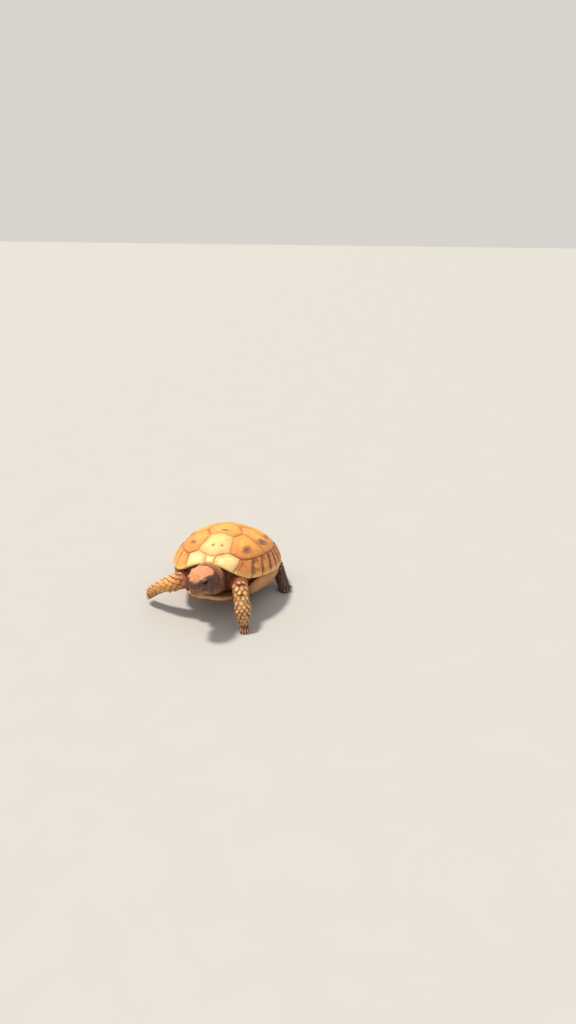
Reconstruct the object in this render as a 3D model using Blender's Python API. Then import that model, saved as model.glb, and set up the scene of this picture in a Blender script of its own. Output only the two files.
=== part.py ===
"""A young Mediterranean tortoise at life size, standing in mid-step on three feet with its right foreleg stretched out.

Everything is worked out in two frames. The shell's own frame has its origin at the middle of the shell, on the level
of the rim at the bridge; the body frame stands on the floor, under the middle of the shell. In both, places are given
as (forward, left, up), and the model faces -Y. At the end the whole model is moved so that the middle of its box is
over the origin.
"""

import math

import bmesh
import bpy
import numpy as np
from mathutils import Matrix, Vector

MM = 0.001

# Shell: overall sizes
SHELL_HALF_LENGTH = 32.5 * MM
SHELL_HALF_WIDTH = 26.0 * MM
DOME_HEIGHT = 19.4 * MM  # above the rim at the bridge
PLASTRON_DEPTH = 10.8 * MM  # below the rim at the bridge
SHELL_WALL = 1.3 * MM
GAP = 0.3 * MM  # left between neighbours

# Shell: plan outline and profile
OUTLINE_POWER = 2.12
EGG = 0.05  # how much wider the rear is than the front
NUCHAL_NOTCH = 0.8 * MM
NUCHAL_NOTCH_ANGLE = 0.16
NUCHAL_ARCH = 6.9 * MM  # rise of the rim over the neck
NUCHAL_ARCH_ANGLE = math.radians(40)
THIGH_ARCH = 3.0 * MM  # rise of the rim over each hind leg
THIGH_ARCH_ANGLE = math.radians(140)
THIGH_ARCH_SPREAD = 0.36
PROFILE_FRONT = 1.44
PROFILE_SIDE = 1.76
PROFILE_REAR = 1.7

# Stance
SHELL_PITCH = math.radians(12)  # front up
SHELL_ROLL = math.radians(1.8)  # left side down
SHELL_RIM_LEVEL = 16.7 * MM  # above the floor, at the middle of the shell

# Scutes, drawn on a unit disc that maps onto the dome: (forward, half width)
VERTEBRAL_SEAMS = ((0.315, 0.150), (-0.02, 0.155), (-0.30, 0.140), (-0.51, 0.105))
VERTEBRAL_CORNERS = ((0.165, 0.260), (-0.16, 0.265), (-0.41, 0.235))
FIRST_VERTEBRAL_ANGLE = math.radians(19)
LAST_VERTEBRAL_ANGLE = math.radians(160)
COSTAL_SEAM_ANGLES = tuple(math.radians(a) for a in (71, 100, 130))
MARGINAL_TOP = (0.68, 0.67, 0.69)  # disc radius of the marginals' upper seam: front, side, rear
NUCHAL_TOP_RISE = 0.08  # how much nearer the rim that seam runs over the nuchal
NUCHAL_TOP_SPREAD = 0.15
FIRST_VERTEBRAL_DIP = 0.045  # and how much further from it at the first vertebral's corners
FIRST_VERTEBRAL_DIP_SPREAD = 0.14
NUCHAL_WIDTH = 3.6 * MM
MARGINAL_WIDTHS = (10.0, 10.2, 7.3, 7.4, 7.3, 7.0, 7.0, 7.1, 7.3, 7.7, 8.2)  # along the rim, in proportion
MARGINAL_LEAN = (0.04, 0.15, 0.09, 0.09, 0.09, 0.06, 0.0, -0.04, -0.06, -0.06, -0.04, 0.0)  # swing of each seam's top
SUPRACAUDAL_WIDTH = 12.0 * MM
SCUTE_STEP = 3.7 * MM  # spacing of points along a seam
SCUTE_RINGS = ((0.16, 0.46), (0.55, 0.8))  # (share of the way to the centre, share of the full height)
SCUTE_HEIGHT = 0.75 * MM  # of the middle of a large scute over its seams
SCUTE_FULL_SIZE = 5.5 * MM  # a scute whose middle is nearer its seams than this is lower in proportion

# Head
HEAD_BACK = Vector((34.0, 1.3, 27.2)) * MM
HEAD_TURN = math.radians(15)  # towards its right
HEAD_DROP = math.radians(9)
EYE_RADIUS = 1.8 * MM
EYE_PLACE = Vector((8.7, 3.35, 2.3)) * MM  # in the head's own frame
MOUTH_FRONT = Vector((13.4, 0.0, -2.1)) * MM  # of the mouth's line, in the head's own frame
MOUTH_FALL = math.radians(16)  # of that line towards its corners
JAW_LENGTH = 8.6 * MM

# Legs
LEG_SIDES = 14


def smooth(t):
    """A smooth step from 0 to 1 as t goes from 0 to 1."""
    t = np.clip(t, 0.0, 1.0)
    return t * t * (3 - 2 * t)


# ---------------------------------------------------------------- frames


def body_point(forward, left, up):
    """A place in the body frame as a Blender vector."""
    return Vector((left, -forward, up))


def body_mm(forward, left, up):
    """The same, from millimetres."""
    return body_point(forward * MM, left * MM, up * MM)


def shell_matrix():
    """Turns the shell's own frame into the body frame."""
    lean = Matrix.Rotation(-SHELL_PITCH, 4, "X") @ Matrix.Rotation(SHELL_ROLL, 4, "Y")
    return Matrix.Translation((0, 0, SHELL_RIM_LEVEL)) @ lean


# ---------------------------------------------------------------- the dome


def rim_reach(angle):
    """Distance from the shell's middle to its rim in plan. The angle runs from the front, over the left, to the rear."""
    half_width = SHELL_HALF_WIDTH * (1 - EGG * np.cos(angle))
    forward = np.abs(np.cos(angle)) / SHELL_HALF_LENGTH
    left = np.abs(np.sin(angle)) / half_width
    return (forward**OUTLINE_POWER + left**OUTLINE_POWER) ** (-1 / OUTLINE_POWER)


def rim_height(angle):
    """Height of the rim: an arch over the neck and a lower one over each hind leg."""
    from_front = np.abs(np.arctan2(np.sin(angle), np.cos(angle)))
    over_neck = 0.5 + 0.5 * np.cos(np.pi * np.clip(from_front / NUCHAL_ARCH_ANGLE, 0, 1))
    over_thigh = np.exp(-(((from_front - THIGH_ARCH_ANGLE) / THIGH_ARCH_SPREAD) ** 2))
    return NUCHAL_ARCH * over_neck + THIGH_ARCH * over_thigh


def dome_surface(left, forward):
    """Maps the unit disc onto the dome, as an array of (x, y, z) rows in the shell's own frame."""
    radius = np.minimum(np.hypot(left, forward), 1.0)
    angle = np.arctan2(left, forward)
    ahead = np.clip(np.cos(angle), 0, 1) ** 2
    behind = np.clip(-np.cos(angle), 0, 1) ** 2
    power = PROFILE_SIDE + (PROFILE_FRONT - PROFILE_SIDE) * ahead + (PROFILE_REAR - PROFILE_SIDE) * behind
    climb = (1 - radius) * np.pi / 2
    spread = np.cos(climb) ** (2 / power)
    rise = np.sin(climb) ** (2 / power)
    notch = NUCHAL_NOTCH * np.exp(-((angle / NUCHAL_NOTCH_ANGLE) ** 2))
    reach = rim_reach(angle) * spread - notch * np.cos(climb) ** 8
    rim = rim_height(angle)
    height = rim + (DOME_HEIGHT - rim) * rise
    return np.stack([reach * np.sin(angle), -reach * np.cos(angle), height], axis=-1)


def dome_points(discs, lift):
    """Points over the dome, each lifted along its normal. discs holds (left, forward) rows."""
    discs = np.asarray(discs, float).reshape(-1, 2)
    left, forward = discs[:, 0], discs[:, 1]
    step = 1e-3
    inside = np.minimum(1.0, (1 - 2 * step) / np.maximum(np.hypot(left, forward), 1e-9))
    near_left, near_forward = left * inside, forward * inside
    along_left = dome_surface(near_left + step, near_forward) - dome_surface(near_left - step, near_forward)
    along_forward = dome_surface(near_left, near_forward + step) - dome_surface(near_left, near_forward - step)
    normal = np.cross(along_forward, along_left)
    normal /= np.linalg.norm(normal, axis=1)[:, None]
    return dome_surface(left, forward) + normal * np.reshape(lift, (-1, 1))


# ---------------------------------------------------------------- the scutes


def marginal_top(angle):
    """Disc radius of the seam between the marginals and the scutes above them."""
    front, side, rear = MARGINAL_TOP
    ahead = np.clip(np.cos(angle), 0, 1) ** 2
    behind = np.clip(-np.cos(angle), 0, 1) ** 2
    off_front = np.abs(np.arctan2(np.sin(angle), np.cos(angle)))
    over_nuchal = np.exp(-((off_front / NUCHAL_TOP_SPREAD) ** 2))
    at_corner = np.exp(-(((off_front - FIRST_VERTEBRAL_ANGLE) / FIRST_VERTEBRAL_DIP_SPREAD) ** 2))
    return (
        side
        + (front - side) * ahead
        + (rear - side) * behind
        + NUCHAL_TOP_RISE * over_nuchal
        - FIRST_VERTEBRAL_DIP * at_corner
    )


def marginal_angles():
    """The rim angles at which the left side's marginals meet, from the nuchal's edge to the supracaudal's."""
    angles = np.linspace(0, np.pi, 721)
    rim = dome_surface(np.sin(angles), np.cos(angles))[:, :2]
    run = np.concatenate([[0], np.cumsum(np.linalg.norm(np.diff(rim, axis=0), axis=1))])
    first, last = NUCHAL_WIDTH / 2, run[-1] - SUPRACAUDAL_WIDTH / 2
    shares = np.cumsum((0.0,) + MARGINAL_WIDTHS) / sum(MARGINAL_WIDTHS)
    return np.interp(first + (last - first) * shares, run, angles)


def ring_angles(corners):
    """All the corner angles round the ring, with even steps between each two."""
    found = []
    corners = sorted(corners)
    for start, end in zip(corners, corners[1:] + [corners[0] + 2 * math.pi]):
        length = (end - start) * rim_reach((start + end) / 2)
        steps = max(1, round(length / SCUTE_STEP))
        found += [start + (end - start) * i / steps for i in range(steps)]
    return found


def on_ring(angle, radius=None):
    radius = marginal_top(angle) if radius is None else radius
    return (math.sin(angle) * radius, math.cos(angle) * radius)


def seam(start, end):
    """The points of a straight seam, without its last, and alike from both sides."""
    first, last = sorted((tuple(start), tuple(end)))
    length = np.linalg.norm(np.subtract(*dome_points([first, last], 0.0)))
    steps = max(1, round(length / SCUTE_STEP))
    points = [tuple(np.add(first, np.subtract(last, first) * i / steps)) for i in range(steps + 1)]
    points = points if tuple(start) == first else points[::-1]
    return points[:-1]


def arc(angles, start, end, radius=None):
    """The points along a ring from one corner angle to the next, without its last. It runs either way."""
    turn = 2 * math.pi
    low, high = min(start, end), max(start, end)
    spots = [a + k * turn for a in angles for k in (-1, 0, 1)]
    spots = sorted(a for a in spots if low - 1e-9 <= a <= high + 1e-9)
    spots = spots if start < end else spots[::-1]
    return [on_ring(a, radius) for a in spots[:-1]]


def mirrored(outline):
    """The outline on the right side, still running the same way round."""
    return [(-left, forward) for left, forward in outline][::-1]


def scute_outlines():
    """Each scute of the upper shell as (name, outline on the disc)."""
    rims = list(marginal_angles())
    tops = [angle + lean for angle, lean in zip(rims, MARGINAL_LEAN)]
    corners = tops + [FIRST_VERTEBRAL_ANGLE, LAST_VERTEBRAL_ANGLE, *COSTAL_SEAM_ANGLES]
    angles = ring_angles(corners + [-a for a in corners])
    rim_angles = ring_angles(rims + [-a for a in rims])
    seams = [(half, forward) for forward, half in VERTEBRAL_SEAMS]
    corners = [(half, forward) for forward, half in VERTEBRAL_CORNERS]

    def right(point):
        return (-point[0], point[1])

    first, last = on_ring(FIRST_VERTEBRAL_ANGLE), on_ring(LAST_VERTEBRAL_ANGLE)
    outlines = [
        (
            "vertebral_1",
            arc(angles, -FIRST_VERTEBRAL_ANGLE, FIRST_VERTEBRAL_ANGLE)
            + seam(first, seams[0])
            + seam(seams[0], right(seams[0]))
            + seam(right(seams[0]), right(first)),
        )
    ]
    for k in range(3):
        around = [right(seams[k]), seams[k], corners[k], seams[k + 1], right(seams[k + 1]), right(corners[k])]
        outline = []
        for start, end in zip(around, around[1:] + around[:1]):
            outline += seam(start, end)
        outlines.append((f"vertebral_{k + 2}", outline))
    outlines.append(
        (
            "vertebral_5",
            seam(right(seams[3]), seams[3])
            + seam(seams[3], last)
            + arc(angles, LAST_VERTEBRAL_ANGLE, 2 * math.pi - LAST_VERTEBRAL_ANGLE)
            + seam(right(last), right(seams[3])),
        )
    )

    ends = [FIRST_VERTEBRAL_ANGLE, *COSTAL_SEAM_ANGLES, LAST_VERTEBRAL_ANGLE]
    inner = [[first, seams[0], corners[0]]]
    inner += [[corners[k], seams[k + 1], corners[k + 1]] for k in range(2)]
    inner += [[corners[2], seams[3], last]]
    for k in range(4):
        start, middle, end = inner[k]
        outline = seam(start, middle) + seam(middle, end)
        if k < 3:
            outline += seam(end, on_ring(ends[k + 1]))
        outline += arc(angles, ends[k + 1], ends[k])
        if k > 0:
            outline += seam(on_ring(ends[k]), start)
        outline = outline[::-1]
        outlines.append((f"costal_left_{k + 1}", outline))
        outlines.append((f"costal_right_{k + 1}", mirrored(outline)))

    def marginal(rim_start, rim_end, top_start, top_end):
        return (
            arc(rim_angles, rim_start, rim_end, 1.0)
            + seam(on_ring(rim_end, 1.0), on_ring(top_end))
            + arc(angles, top_end, top_start)
            + seam(on_ring(top_start), on_ring(rim_start, 1.0))
        )

    for k in range(len(rims) - 1):
        outline = marginal(rims[k], rims[k + 1], tops[k], tops[k + 1])
        outlines.append((f"marginal_left_{k + 1}", outline))
        outlines.append((f"marginal_right_{k + 1}", mirrored(outline)))
    outlines.append(("nuchal", marginal(-rims[0], rims[0], -tops[0], tops[0])))
    turn = 2 * math.pi
    outlines.append(("supracaudal", marginal(rims[-1], turn - rims[-1], tops[-1], turn - tops[-1])))
    return outlines, rim_angles


# ---------------------------------------------------------------- meshes


def finish_mesh(bm, name, matrix=None):
    """Welds, triangulates, orients and links a mesh as a new object."""
    bmesh.ops.remove_doubles(bm, verts=bm.verts, dist=1e-6)
    bmesh.ops.triangulate(bm, faces=bm.faces)
    bmesh.ops.recalc_face_normals(bm, faces=bm.faces)
    mesh = bpy.data.meshes.new(name)
    bm.to_mesh(mesh)
    bm.free()
    if matrix is not None:
        mesh.transform(matrix)
    obj = bpy.data.objects.new(name, mesh)
    bpy.context.scene.collection.objects.link(obj)
    return obj


def add_strip(bm, first, second):
    """Faces between two closed loops of vertices."""
    for i in range(len(first)):
        j = (i + 1) % len(first)
        bm.faces.new((first[i], first[j], second[j], second[i]))


def add_fan(bm, loop, centre):
    for i in range(len(loop)):
        bm.faces.new((loop[i], loop[(i + 1) % len(loop)], centre))


def loft(name, rings, matrix=None):
    """A closed solid over rings of points, each end drawn to its ring's middle."""
    bm = bmesh.new()
    loops = [[bm.verts.new(p) for p in ring] for ring in rings]
    for first, second in zip(loops, loops[1:]):
        add_strip(bm, first, second)
    for loop in (loops[0], loops[-1]):
        middle = sum((v.co for v in loop), Vector()) / len(loop)
        add_fan(bm, loop, bm.verts.new(middle))
    return finish_mesh(bm, name, matrix)


def subtract(obj, cutter):
    """Cuts one solid from another and keeps the result as plain mesh."""
    modifier = obj.modifiers.new("cut", "BOOLEAN")
    modifier.operation = "DIFFERENCE"
    modifier.solver = "EXACT"
    modifier.object = cutter
    apply_modifiers(obj)


def intersect(obj, other):
    modifier = obj.modifiers.new("keep", "BOOLEAN")
    modifier.operation = "INTERSECT"
    modifier.solver = "EXACT"
    modifier.object = other
    apply_modifiers(obj)


def apply_modifiers(obj):
    bpy.context.view_layer.update()
    graph = bpy.context.evaluated_depsgraph_get()
    mesh = bpy.data.meshes.new_from_object(obj.evaluated_get(graph))
    obj.modifiers.clear()
    obj.data = mesh


def keep_longest(obj):
    """Drops the slivers a cut leaves, keeping the part with the most vertices."""
    bm = bmesh.new()
    bm.from_mesh(obj.data)
    left = set(bm.verts)
    parts = []
    while left:
        part = {left.pop()}
        edge = list(part)
        while edge:
            vert = edge.pop()
            for link in vert.link_edges:
                other = link.other_vert(vert)
                if other not in part:
                    part.add(other)
                    edge.append(other)
        left -= part
        parts.append(part)
    parts.sort(key=len)
    bmesh.ops.delete(bm, geom=[vert for part in parts[:-1] for vert in part], context="VERTS")
    bm.to_mesh(obj.data)
    bm.free()


def room_for(obj, name="room"):
    """A copy grown by the gap on every side, to cut its neighbours with."""
    bm = bmesh.new()
    bm.from_mesh(obj.data)
    bm.normal_update()
    places = [v.co + v.normal * GAP * min(v.calc_shell_factor(), 1.5) for v in bm.verts]
    for vert, place in zip(bm.verts, places):
        vert.co = place
    return finish_mesh(bm, name)


def drop(*objects):
    for obj in objects:
        bpy.data.objects.remove(obj)


# ---------------------------------------------------------------- shell pieces


def carapace():
    """The upper shell: scutes raised between seams outside, and a plain dome inside."""
    bm = bmesh.new()
    outlines, angles = scute_outlines()
    for _, outline in outlines:
        outline = np.array(outline)
        centre = outline.mean(axis=0)
        seam_points = dome_points(outline, 0.0)
        size = np.linalg.norm(seam_points - dome_points([centre], 0.0), axis=1).min()
        full = SCUTE_HEIGHT * min(1.0, size / SCUTE_FULL_SIZE)
        border = [bm.verts.new(p) for p in seam_points]
        for share, height in SCUTE_RINGS:
            ring = centre + (outline - centre) * (1 - share)
            inner = [bm.verts.new(p) for p in dome_points(ring, height * full)]
            add_strip(bm, border, inner)
            border = inner
        add_fan(bm, border, bm.verts.new(dome_points([centre], full)[0]))
    rim = [bm.verts.new(p) for p in dome_points([on_ring(a, 1.0) for a in angles], 0.0)]
    for radius in (1.0, 0.84, 0.66, 0.48, 0.3, 0.13):
        ring = [on_ring(a, radius) for a in angles]
        inner = [bm.verts.new(p) for p in dome_points(ring, -SHELL_WALL)]
        add_strip(bm, rim, inner)
        rim = inner
    add_fan(bm, rim, bm.verts.new(dome_points([(0.0, 0.0)], -SHELL_WALL)[0]))
    return finish_mesh(bm, "carapace", shell_matrix())


PLASTRON_FRONT = 29.5 * MM
PLASTRON_REAR = -28.0 * MM
PLASTRON_TAIL_RISE = 1.8 * MM  # of its hind end
PLASTRON_HALF_WIDTH = 16.5 * MM
PLASTRON_WALL = 1.6 * MM
PLASTRON_END_SHARE = 0.55  # width of its blunt ends against its middle
PLASTRON_EDGE_RISE = 1.8 * MM
PLASTRON_FLAT_SHARE = 0.6  # of its half width
BRIDGE_FRONT = 18.5 * MM
BRIDGE_REAR = -11.0 * MM
BRIDGE_TURN = 5.0 * MM  # length over which the plate widens into the bridge
BRIDGE_RIM_INSET = 0.5 * MM


def bridge_share(forward):
    """1 where the bridge joins the plate to the rim, 0 ahead of it and behind it."""
    return smooth((BRIDGE_FRONT - forward) / BRIDGE_TURN + 0.5) * smooth((forward - BRIDGE_REAR) / BRIDGE_TURN + 0.5)


def plastron_half_width(forward):
    middle = (PLASTRON_FRONT + PLASTRON_REAR) / 2
    half = (PLASTRON_FRONT - PLASTRON_REAR) / 2
    along = np.abs((forward - middle) / half)
    plate = PLASTRON_HALF_WIDTH * (1 - (1 - PLASTRON_END_SHARE) * along**3.2)
    angles = np.linspace(np.pi, 0, 181)
    reach = rim_reach(angles)
    rim = np.interp(forward, reach * np.cos(angles), reach * np.sin(angles)) - BRIDGE_RIM_INSET
    return plate + (rim - plate) * bridge_share(forward)


def plastron_section(forward, across):
    """The plate's underside and upper side at one station, as two rows of (x, z). across runs over the half width."""
    width = plastron_half_width(forward)
    climb = np.clip((np.abs(across) - PLASTRON_FLAT_SHARE) / (1 - PLASTRON_FLAT_SHARE), 0, 1)
    rise = PLASTRON_EDGE_RISE + (PLASTRON_DEPTH - 2 * GAP - PLASTRON_EDGE_RISE) * bridge_share(forward)
    tail = np.clip((forward - BRIDGE_REAR) / (PLASTRON_REAR - BRIDGE_REAR), 0, 1)
    x = across * width
    z = -PLASTRON_DEPTH + PLASTRON_TAIL_RISE * tail**1.5 + rise * (1 - np.sqrt(1 - climb**2))
    inner_x = x - np.sign(across) * PLASTRON_WALL * climb
    inner_z = z + PLASTRON_WALL * (1 - climb) + GAP * climb
    return np.stack([x, z], axis=1), np.stack([inner_x, inner_z], axis=1)


def plastron():
    """The lower shell: a flat plate that turns up into a bridge to the rim on each side."""
    bm = bmesh.new()
    middle = (PLASTRON_FRONT + PLASTRON_REAR) / 2
    half = (PLASTRON_FRONT - PLASTRON_REAR) / 2
    across = np.array([-1.0, -0.97, -0.9, -0.77, -0.6, 0.0, 0.6, 0.77, 0.9, 0.97, 1.0])
    rings = []
    for forward in middle + half * np.cos(np.pi * np.linspace(0, 1, 23)):
        low, high = plastron_section(forward, across)
        rings.append([bm.verts.new((x, -forward, z)) for x, z in [*low, *high[::-1]]])
    for first, second in zip(rings, rings[1:]):
        add_strip(bm, first, second)
    for ring in (rings[0], rings[-1]):
        count = len(ring) // 2
        for i in range(count - 1):
            bm.faces.new((ring[i], ring[i + 1], ring[-2 - i], ring[-1 - i]))
    return finish_mesh(bm, "plastron", shell_matrix())


def trunk():
    """The body between the two shells. It shows as the skin round the neck, the legs and the tail."""
    bm = bmesh.new()
    angles = np.linspace(0, 2 * math.pi, 36, endpoint=False)
    ahead = np.cos(angles) ** 2
    inner = -SHELL_WALL - 2 * GAP
    rings = []
    for radius in (0.15, 0.35, 0.55, 0.75, 0.92):
        rings.append(dome_points([on_ring(a, radius) for a in angles], inner))
    reach = rim_reach(angles)
    rim = rim_height(angles)

    def level(share, height):
        return np.stack([reach * share * np.sin(angles), -reach * share * np.cos(angles), height], axis=-1)

    floor = -PLASTRON_DEPTH + PLASTRON_WALL + 2 * GAP
    rings.append(level(0.90 - 0.03 * ahead, rim + 0.5 * MM))
    rings.append(level(0.80 + 0.06 * ahead, rim * (1 - ahead) - 4.5 * MM * (1 - 0.5 * ahead)))
    rings.append(level(0.46 + 0.28 * ahead, np.full_like(angles, floor)))
    loops = [[bm.verts.new(p) for p in ring] for ring in rings]
    for first, second in zip(loops, loops[1:]):
        add_strip(bm, first, second)
    top = dome_points([(0.0, 0.0)], inner)[0]
    add_fan(bm, loops[0], bm.verts.new(top))
    add_fan(bm, loops[-1], bm.verts.new((0.0, 0.0, floor)))
    return finish_mesh(bm, "trunk", shell_matrix())


# ---------------------------------------------------------------- limbs


def through(knots, per_span):
    """A smooth curve through rows of numbers, as Catmull-Rom spans."""
    knots = np.asarray(knots, float)
    padded = np.vstack([2 * knots[0] - knots[1], knots, 2 * knots[-1] - knots[-2]])
    rows = []
    for i in range(len(knots) - 1):
        a, b, c, d = padded[i : i + 4]
        for t in np.arange(per_span) / per_span:
            rows.append(0.5 * (2 * b + (c - a) * t + (2 * a - 5 * b + 4 * c - d) * t**2 + (3 * b - a - 3 * c + d) * t**3))
    rows.append(knots[-1])
    return np.array(rows)


def limb(name, joints, broad, sides=LEG_SIDES, per_span=3):
    """A tapering limb. Each joint is (forward, left, up, half width, half thickness) in millimetres, in the body frame.
    broad is the direction, as (forward, left, up), in which the half width lies."""
    rows = through(joints, per_span) * MM
    points = [body_point(*row[:3]) for row in rows]
    broad = body_point(*broad).normalized()
    rings = []
    for i, row in enumerate(rows):
        along = (points[min(i + 1, len(points) - 1)] - points[max(i - 1, 0)]).normalized()
        wide = (broad - along * broad.dot(along)).normalized()
        deep = along.cross(wide)
        ring = []
        for k in range(sides):
            angle = 2 * math.pi * k / sides
            ring.append(points[i] + wide * (row[3] * math.cos(angle)) + deep * (row[4] * math.sin(angle)))
        rings.append(ring)
    return loft(name, rings)


def flat_sole(obj):
    """Cuts a standing foot off level with the floor."""
    bm = bmesh.new()
    bm.from_mesh(obj.data)
    everything = list(bm.verts) + list(bm.edges) + list(bm.faces)
    cut = bmesh.ops.bisect_plane(bm, geom=everything, plane_co=(0, 0, 0), plane_no=(0, 0, -1), clear_outer=True)
    edges = [g for g in cut["geom_cut"] if isinstance(g, bmesh.types.BMEdge)]
    bmesh.ops.edgeloop_fill(bm, edges=edges)
    bmesh.ops.triangulate(bm, faces=[f for f in bm.faces if len(f.verts) > 4])
    bmesh.ops.recalc_face_normals(bm, faces=bm.faces)
    bm.to_mesh(obj.data)
    bm.free()


# Each leg: joints from inside the shell to the toes, the direction of its broad side, and its claws.
# A claw is its root, then the direction it points, as (forward, left, up).
LEGS = {
    "foreleg_left": {
        "joints": (
            (20.0, 10.0, 19.0, 4.6, 4.2),
            (27.0, 13.8, 19.2, 4.3, 4.0),
            (31.0, 15.6, 16.3, 3.9, 3.4),
            (33.4, 16.9, 11.0, 3.9, 3.0),
            (34.8, 17.6, 6.5, 3.3, 2.6),
            (35.8, 18.1, 2.8, 2.6, 2.2),
            (36.8, 18.6, -0.8, 2.4, 2.0),
        ),
        "broad": (-0.35, 0.94, 0.0),
        "toes": 5,
        "stands": True,
    },
    "foreleg_right": {
        "joints": (
            (20.5, -8.0, 18.5, 4.6, 4.2),
            (24.0, -13.5, 17.8, 4.8, 4.3),
            (24.2, -19.5, 15.3, 4.2, 3.6),
            (22.8, -26.0, 12.2, 3.7, 2.9),
            (21.2, -30.6, 8.9, 3.4, 2.5),
            (19.9, -33.4, 6.3, 3.0, 2.1),
            (19.0, -34.9, 4.9, 2.2, 1.5),
        ),
        "broad": (0.72, 0.1, -0.65),
        "toes": 5,
        "stands": False,
    },
    "hindleg_left": {
        "joints": (
            (-16.0, 10.0, 12.5, 4.8, 4.8),
            (-16.5, 16.5, 12.8, 4.8, 4.7),
            (-14.5, 21.5, 10.8, 4.1, 4.0),
            (-11.0, 24.9, 7.0, 3.4, 3.4),
            (-8.3, 27.2, 3.0, 3.3, 3.3),
            (-6.9, 28.4, -0.8, 3.2, 3.1),
        ),
        "broad": (0.9, 0.3, 0.0),
        "toes": 4,
        "stands": True,
    },
    "hindleg_right": {
        "joints": (
            (-15.0, -11.0, 12.5, 4.8, 4.8),
            (-18.0, -16.5, 13.5, 4.9, 4.8),
            (-21.0, -21.0, 11.0, 4.2, 4.2),
            (-23.4, -23.8, 7.0, 3.6, 3.7),
            (-24.6, -24.9, 3.0, 3.6, 3.7),
            (-25.0, -25.4, -0.8, 3.3, 3.3),
        ),
        "broad": (0.9, -0.3, 0.0),
        "toes": 4,
        "stands": True,
    },
}
CLAW_LENGTH = {5: 2.9 * MM, 4: 2.5 * MM}
CLAW_HALF_WIDTH = 0.5 * MM
CLAW_SIDES = 6

# The toes of each foot: the middle claw's root and direction, and the spread of the row, as (forward, left, up)
TOES = {
    "foreleg_left": {"root": (38.3, 19.3, 1.7), "point": (0.74, 0.33, -0.48), "row": (-0.8, 2.1, 0.0)},
    "foreleg_right": {"root": (18.8, -35.7, 4.7), "point": (-0.05, -0.88, -0.45), "row": (2.3, 0.6, -1.6)},
    "hindleg_left": {"root": (-5.3, 30.8, 1.7), "point": (0.5, 0.75, -0.42), "row": (-2.4, 1.4, 0.0)},
    "hindleg_right": {"root": (-22.2, -27.6, 1.7), "point": (0.62, -0.66, -0.42), "row": (-2.2, -2.3, 0.0)},
}


def claws(leg, foot_cutter):
    """One horny claw for each toe, side by side along the toe row and fanned out a little."""
    toes = TOES[leg]
    count = LEGS[leg]["toes"]
    length = CLAW_LENGTH[count]
    made = []
    for k in range(count):
        offset = 2 * k / (count - 1) - 1
        row = body_mm(*toes["row"])
        point = (body_point(*toes["point"]) + row.normalized() * offset * 0.35).normalized()
        back = row.normalized().cross(point).normalized()
        back = back if back.z > 0 else -back
        root = body_mm(*toes["root"]) + row * offset - point * (1.2 * MM + 0.9 * MM * offset**2)
        droop = -0.16 * length
        rings = []
        for share, size in ((0.0, 1.0), (0.55, 0.75), (1.0, 0.14)):
            middle = root + point * length * share + back * droop * share**2
            half = CLAW_HALF_WIDTH * size
            side = back.cross(point)
            turns = [2 * math.pi * i / CLAW_SIDES for i in range(CLAW_SIDES)]
            rings.append([middle + side * half * math.cos(t) + back * 1.25 * half * math.sin(t) for t in turns])
        claw = loft(f"claw_{leg}_{k + 1}", rings)
        subtract(claw, foot_cutter)
        made.append(claw)
    return made


# ---------------------------------------------------------------- head, neck and tail

# Stations of the head from its back to the tip of the snout: (along, half width, top, bottom) in millimetres
HEAD_STATIONS = (
    (0.0, 3.5, 3.6, -3.9),
    (0.8, 4.8, 4.8, -5.0),
    (2.6, 5.7, 5.6, -5.9),
    (4.8, 5.9, 5.9, -6.2),
    (7.0, 5.4, 5.9, -6.0),
    (8.8, 4.7, 5.5, -5.6),
    (10.2, 4.0, 4.7, -5.3),
    (11.5, 3.3, 3.7, -5.0),
    (12.5, 2.6, 2.5, -4.6),
    (13.1, 1.9, 1.3, -4.1),
    (13.4, 1.2, 0.3, -3.4),
)
HEAD_SIDES = 20
HEAD_SQUARENESS = 2.6


def head_matrix():
    turn = Matrix.Rotation(-HEAD_TURN, 4, "Z") @ Matrix.Rotation(HEAD_DROP, 4, "X")
    return Matrix.Translation(body_point(*HEAD_BACK)) @ turn


def head_form(name):
    """The whole head, its mouth still uncut."""
    rings = []
    for along, half_width, top, bottom in np.array(HEAD_STATIONS) * MM:
        middle = (top + bottom) / 2
        half_height = (top - bottom) / 2
        ring = []
        for k in range(HEAD_SIDES):
            angle = 2 * math.pi * k / HEAD_SIDES
            cos, sin = math.cos(angle), math.sin(angle)
            x = half_width * math.copysign(abs(cos) ** (2 / HEAD_SQUARENESS), cos)
            z = half_height * math.copysign(abs(sin) ** (2 / HEAD_SQUARENESS), sin)
            ring.append((x, -along, middle + z))
        rings.append(ring)
    return loft(name, rings, head_matrix())


def ball(name, centre, radius):
    bm = bmesh.new()
    bmesh.ops.create_uvsphere(bm, u_segments=12, v_segments=8, radius=radius)
    return finish_mesh(bm, name, Matrix.Translation(centre))


def jaw_box(name, grow):
    """The room of the lower jaw: all of the head ahead of the jaw's hinge and below the mouth."""
    low = Vector((-9 * MM, -7 * MM, -9 * MM))
    high = Vector((9 * MM, JAW_LENGTH + grow, grow))
    mouth = Matrix.Translation(body_point(*MOUTH_FRONT)) @ Matrix.Rotation(-MOUTH_FALL, 4, "X")
    bm = bmesh.new()
    bmesh.ops.create_cube(bm, size=1.0)
    bmesh.ops.scale(bm, vec=high - low, verts=bm.verts)
    bmesh.ops.translate(bm, vec=(high + low) / 2, verts=bm.verts)
    return finish_mesh(bm, name, head_matrix() @ mouth)


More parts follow.
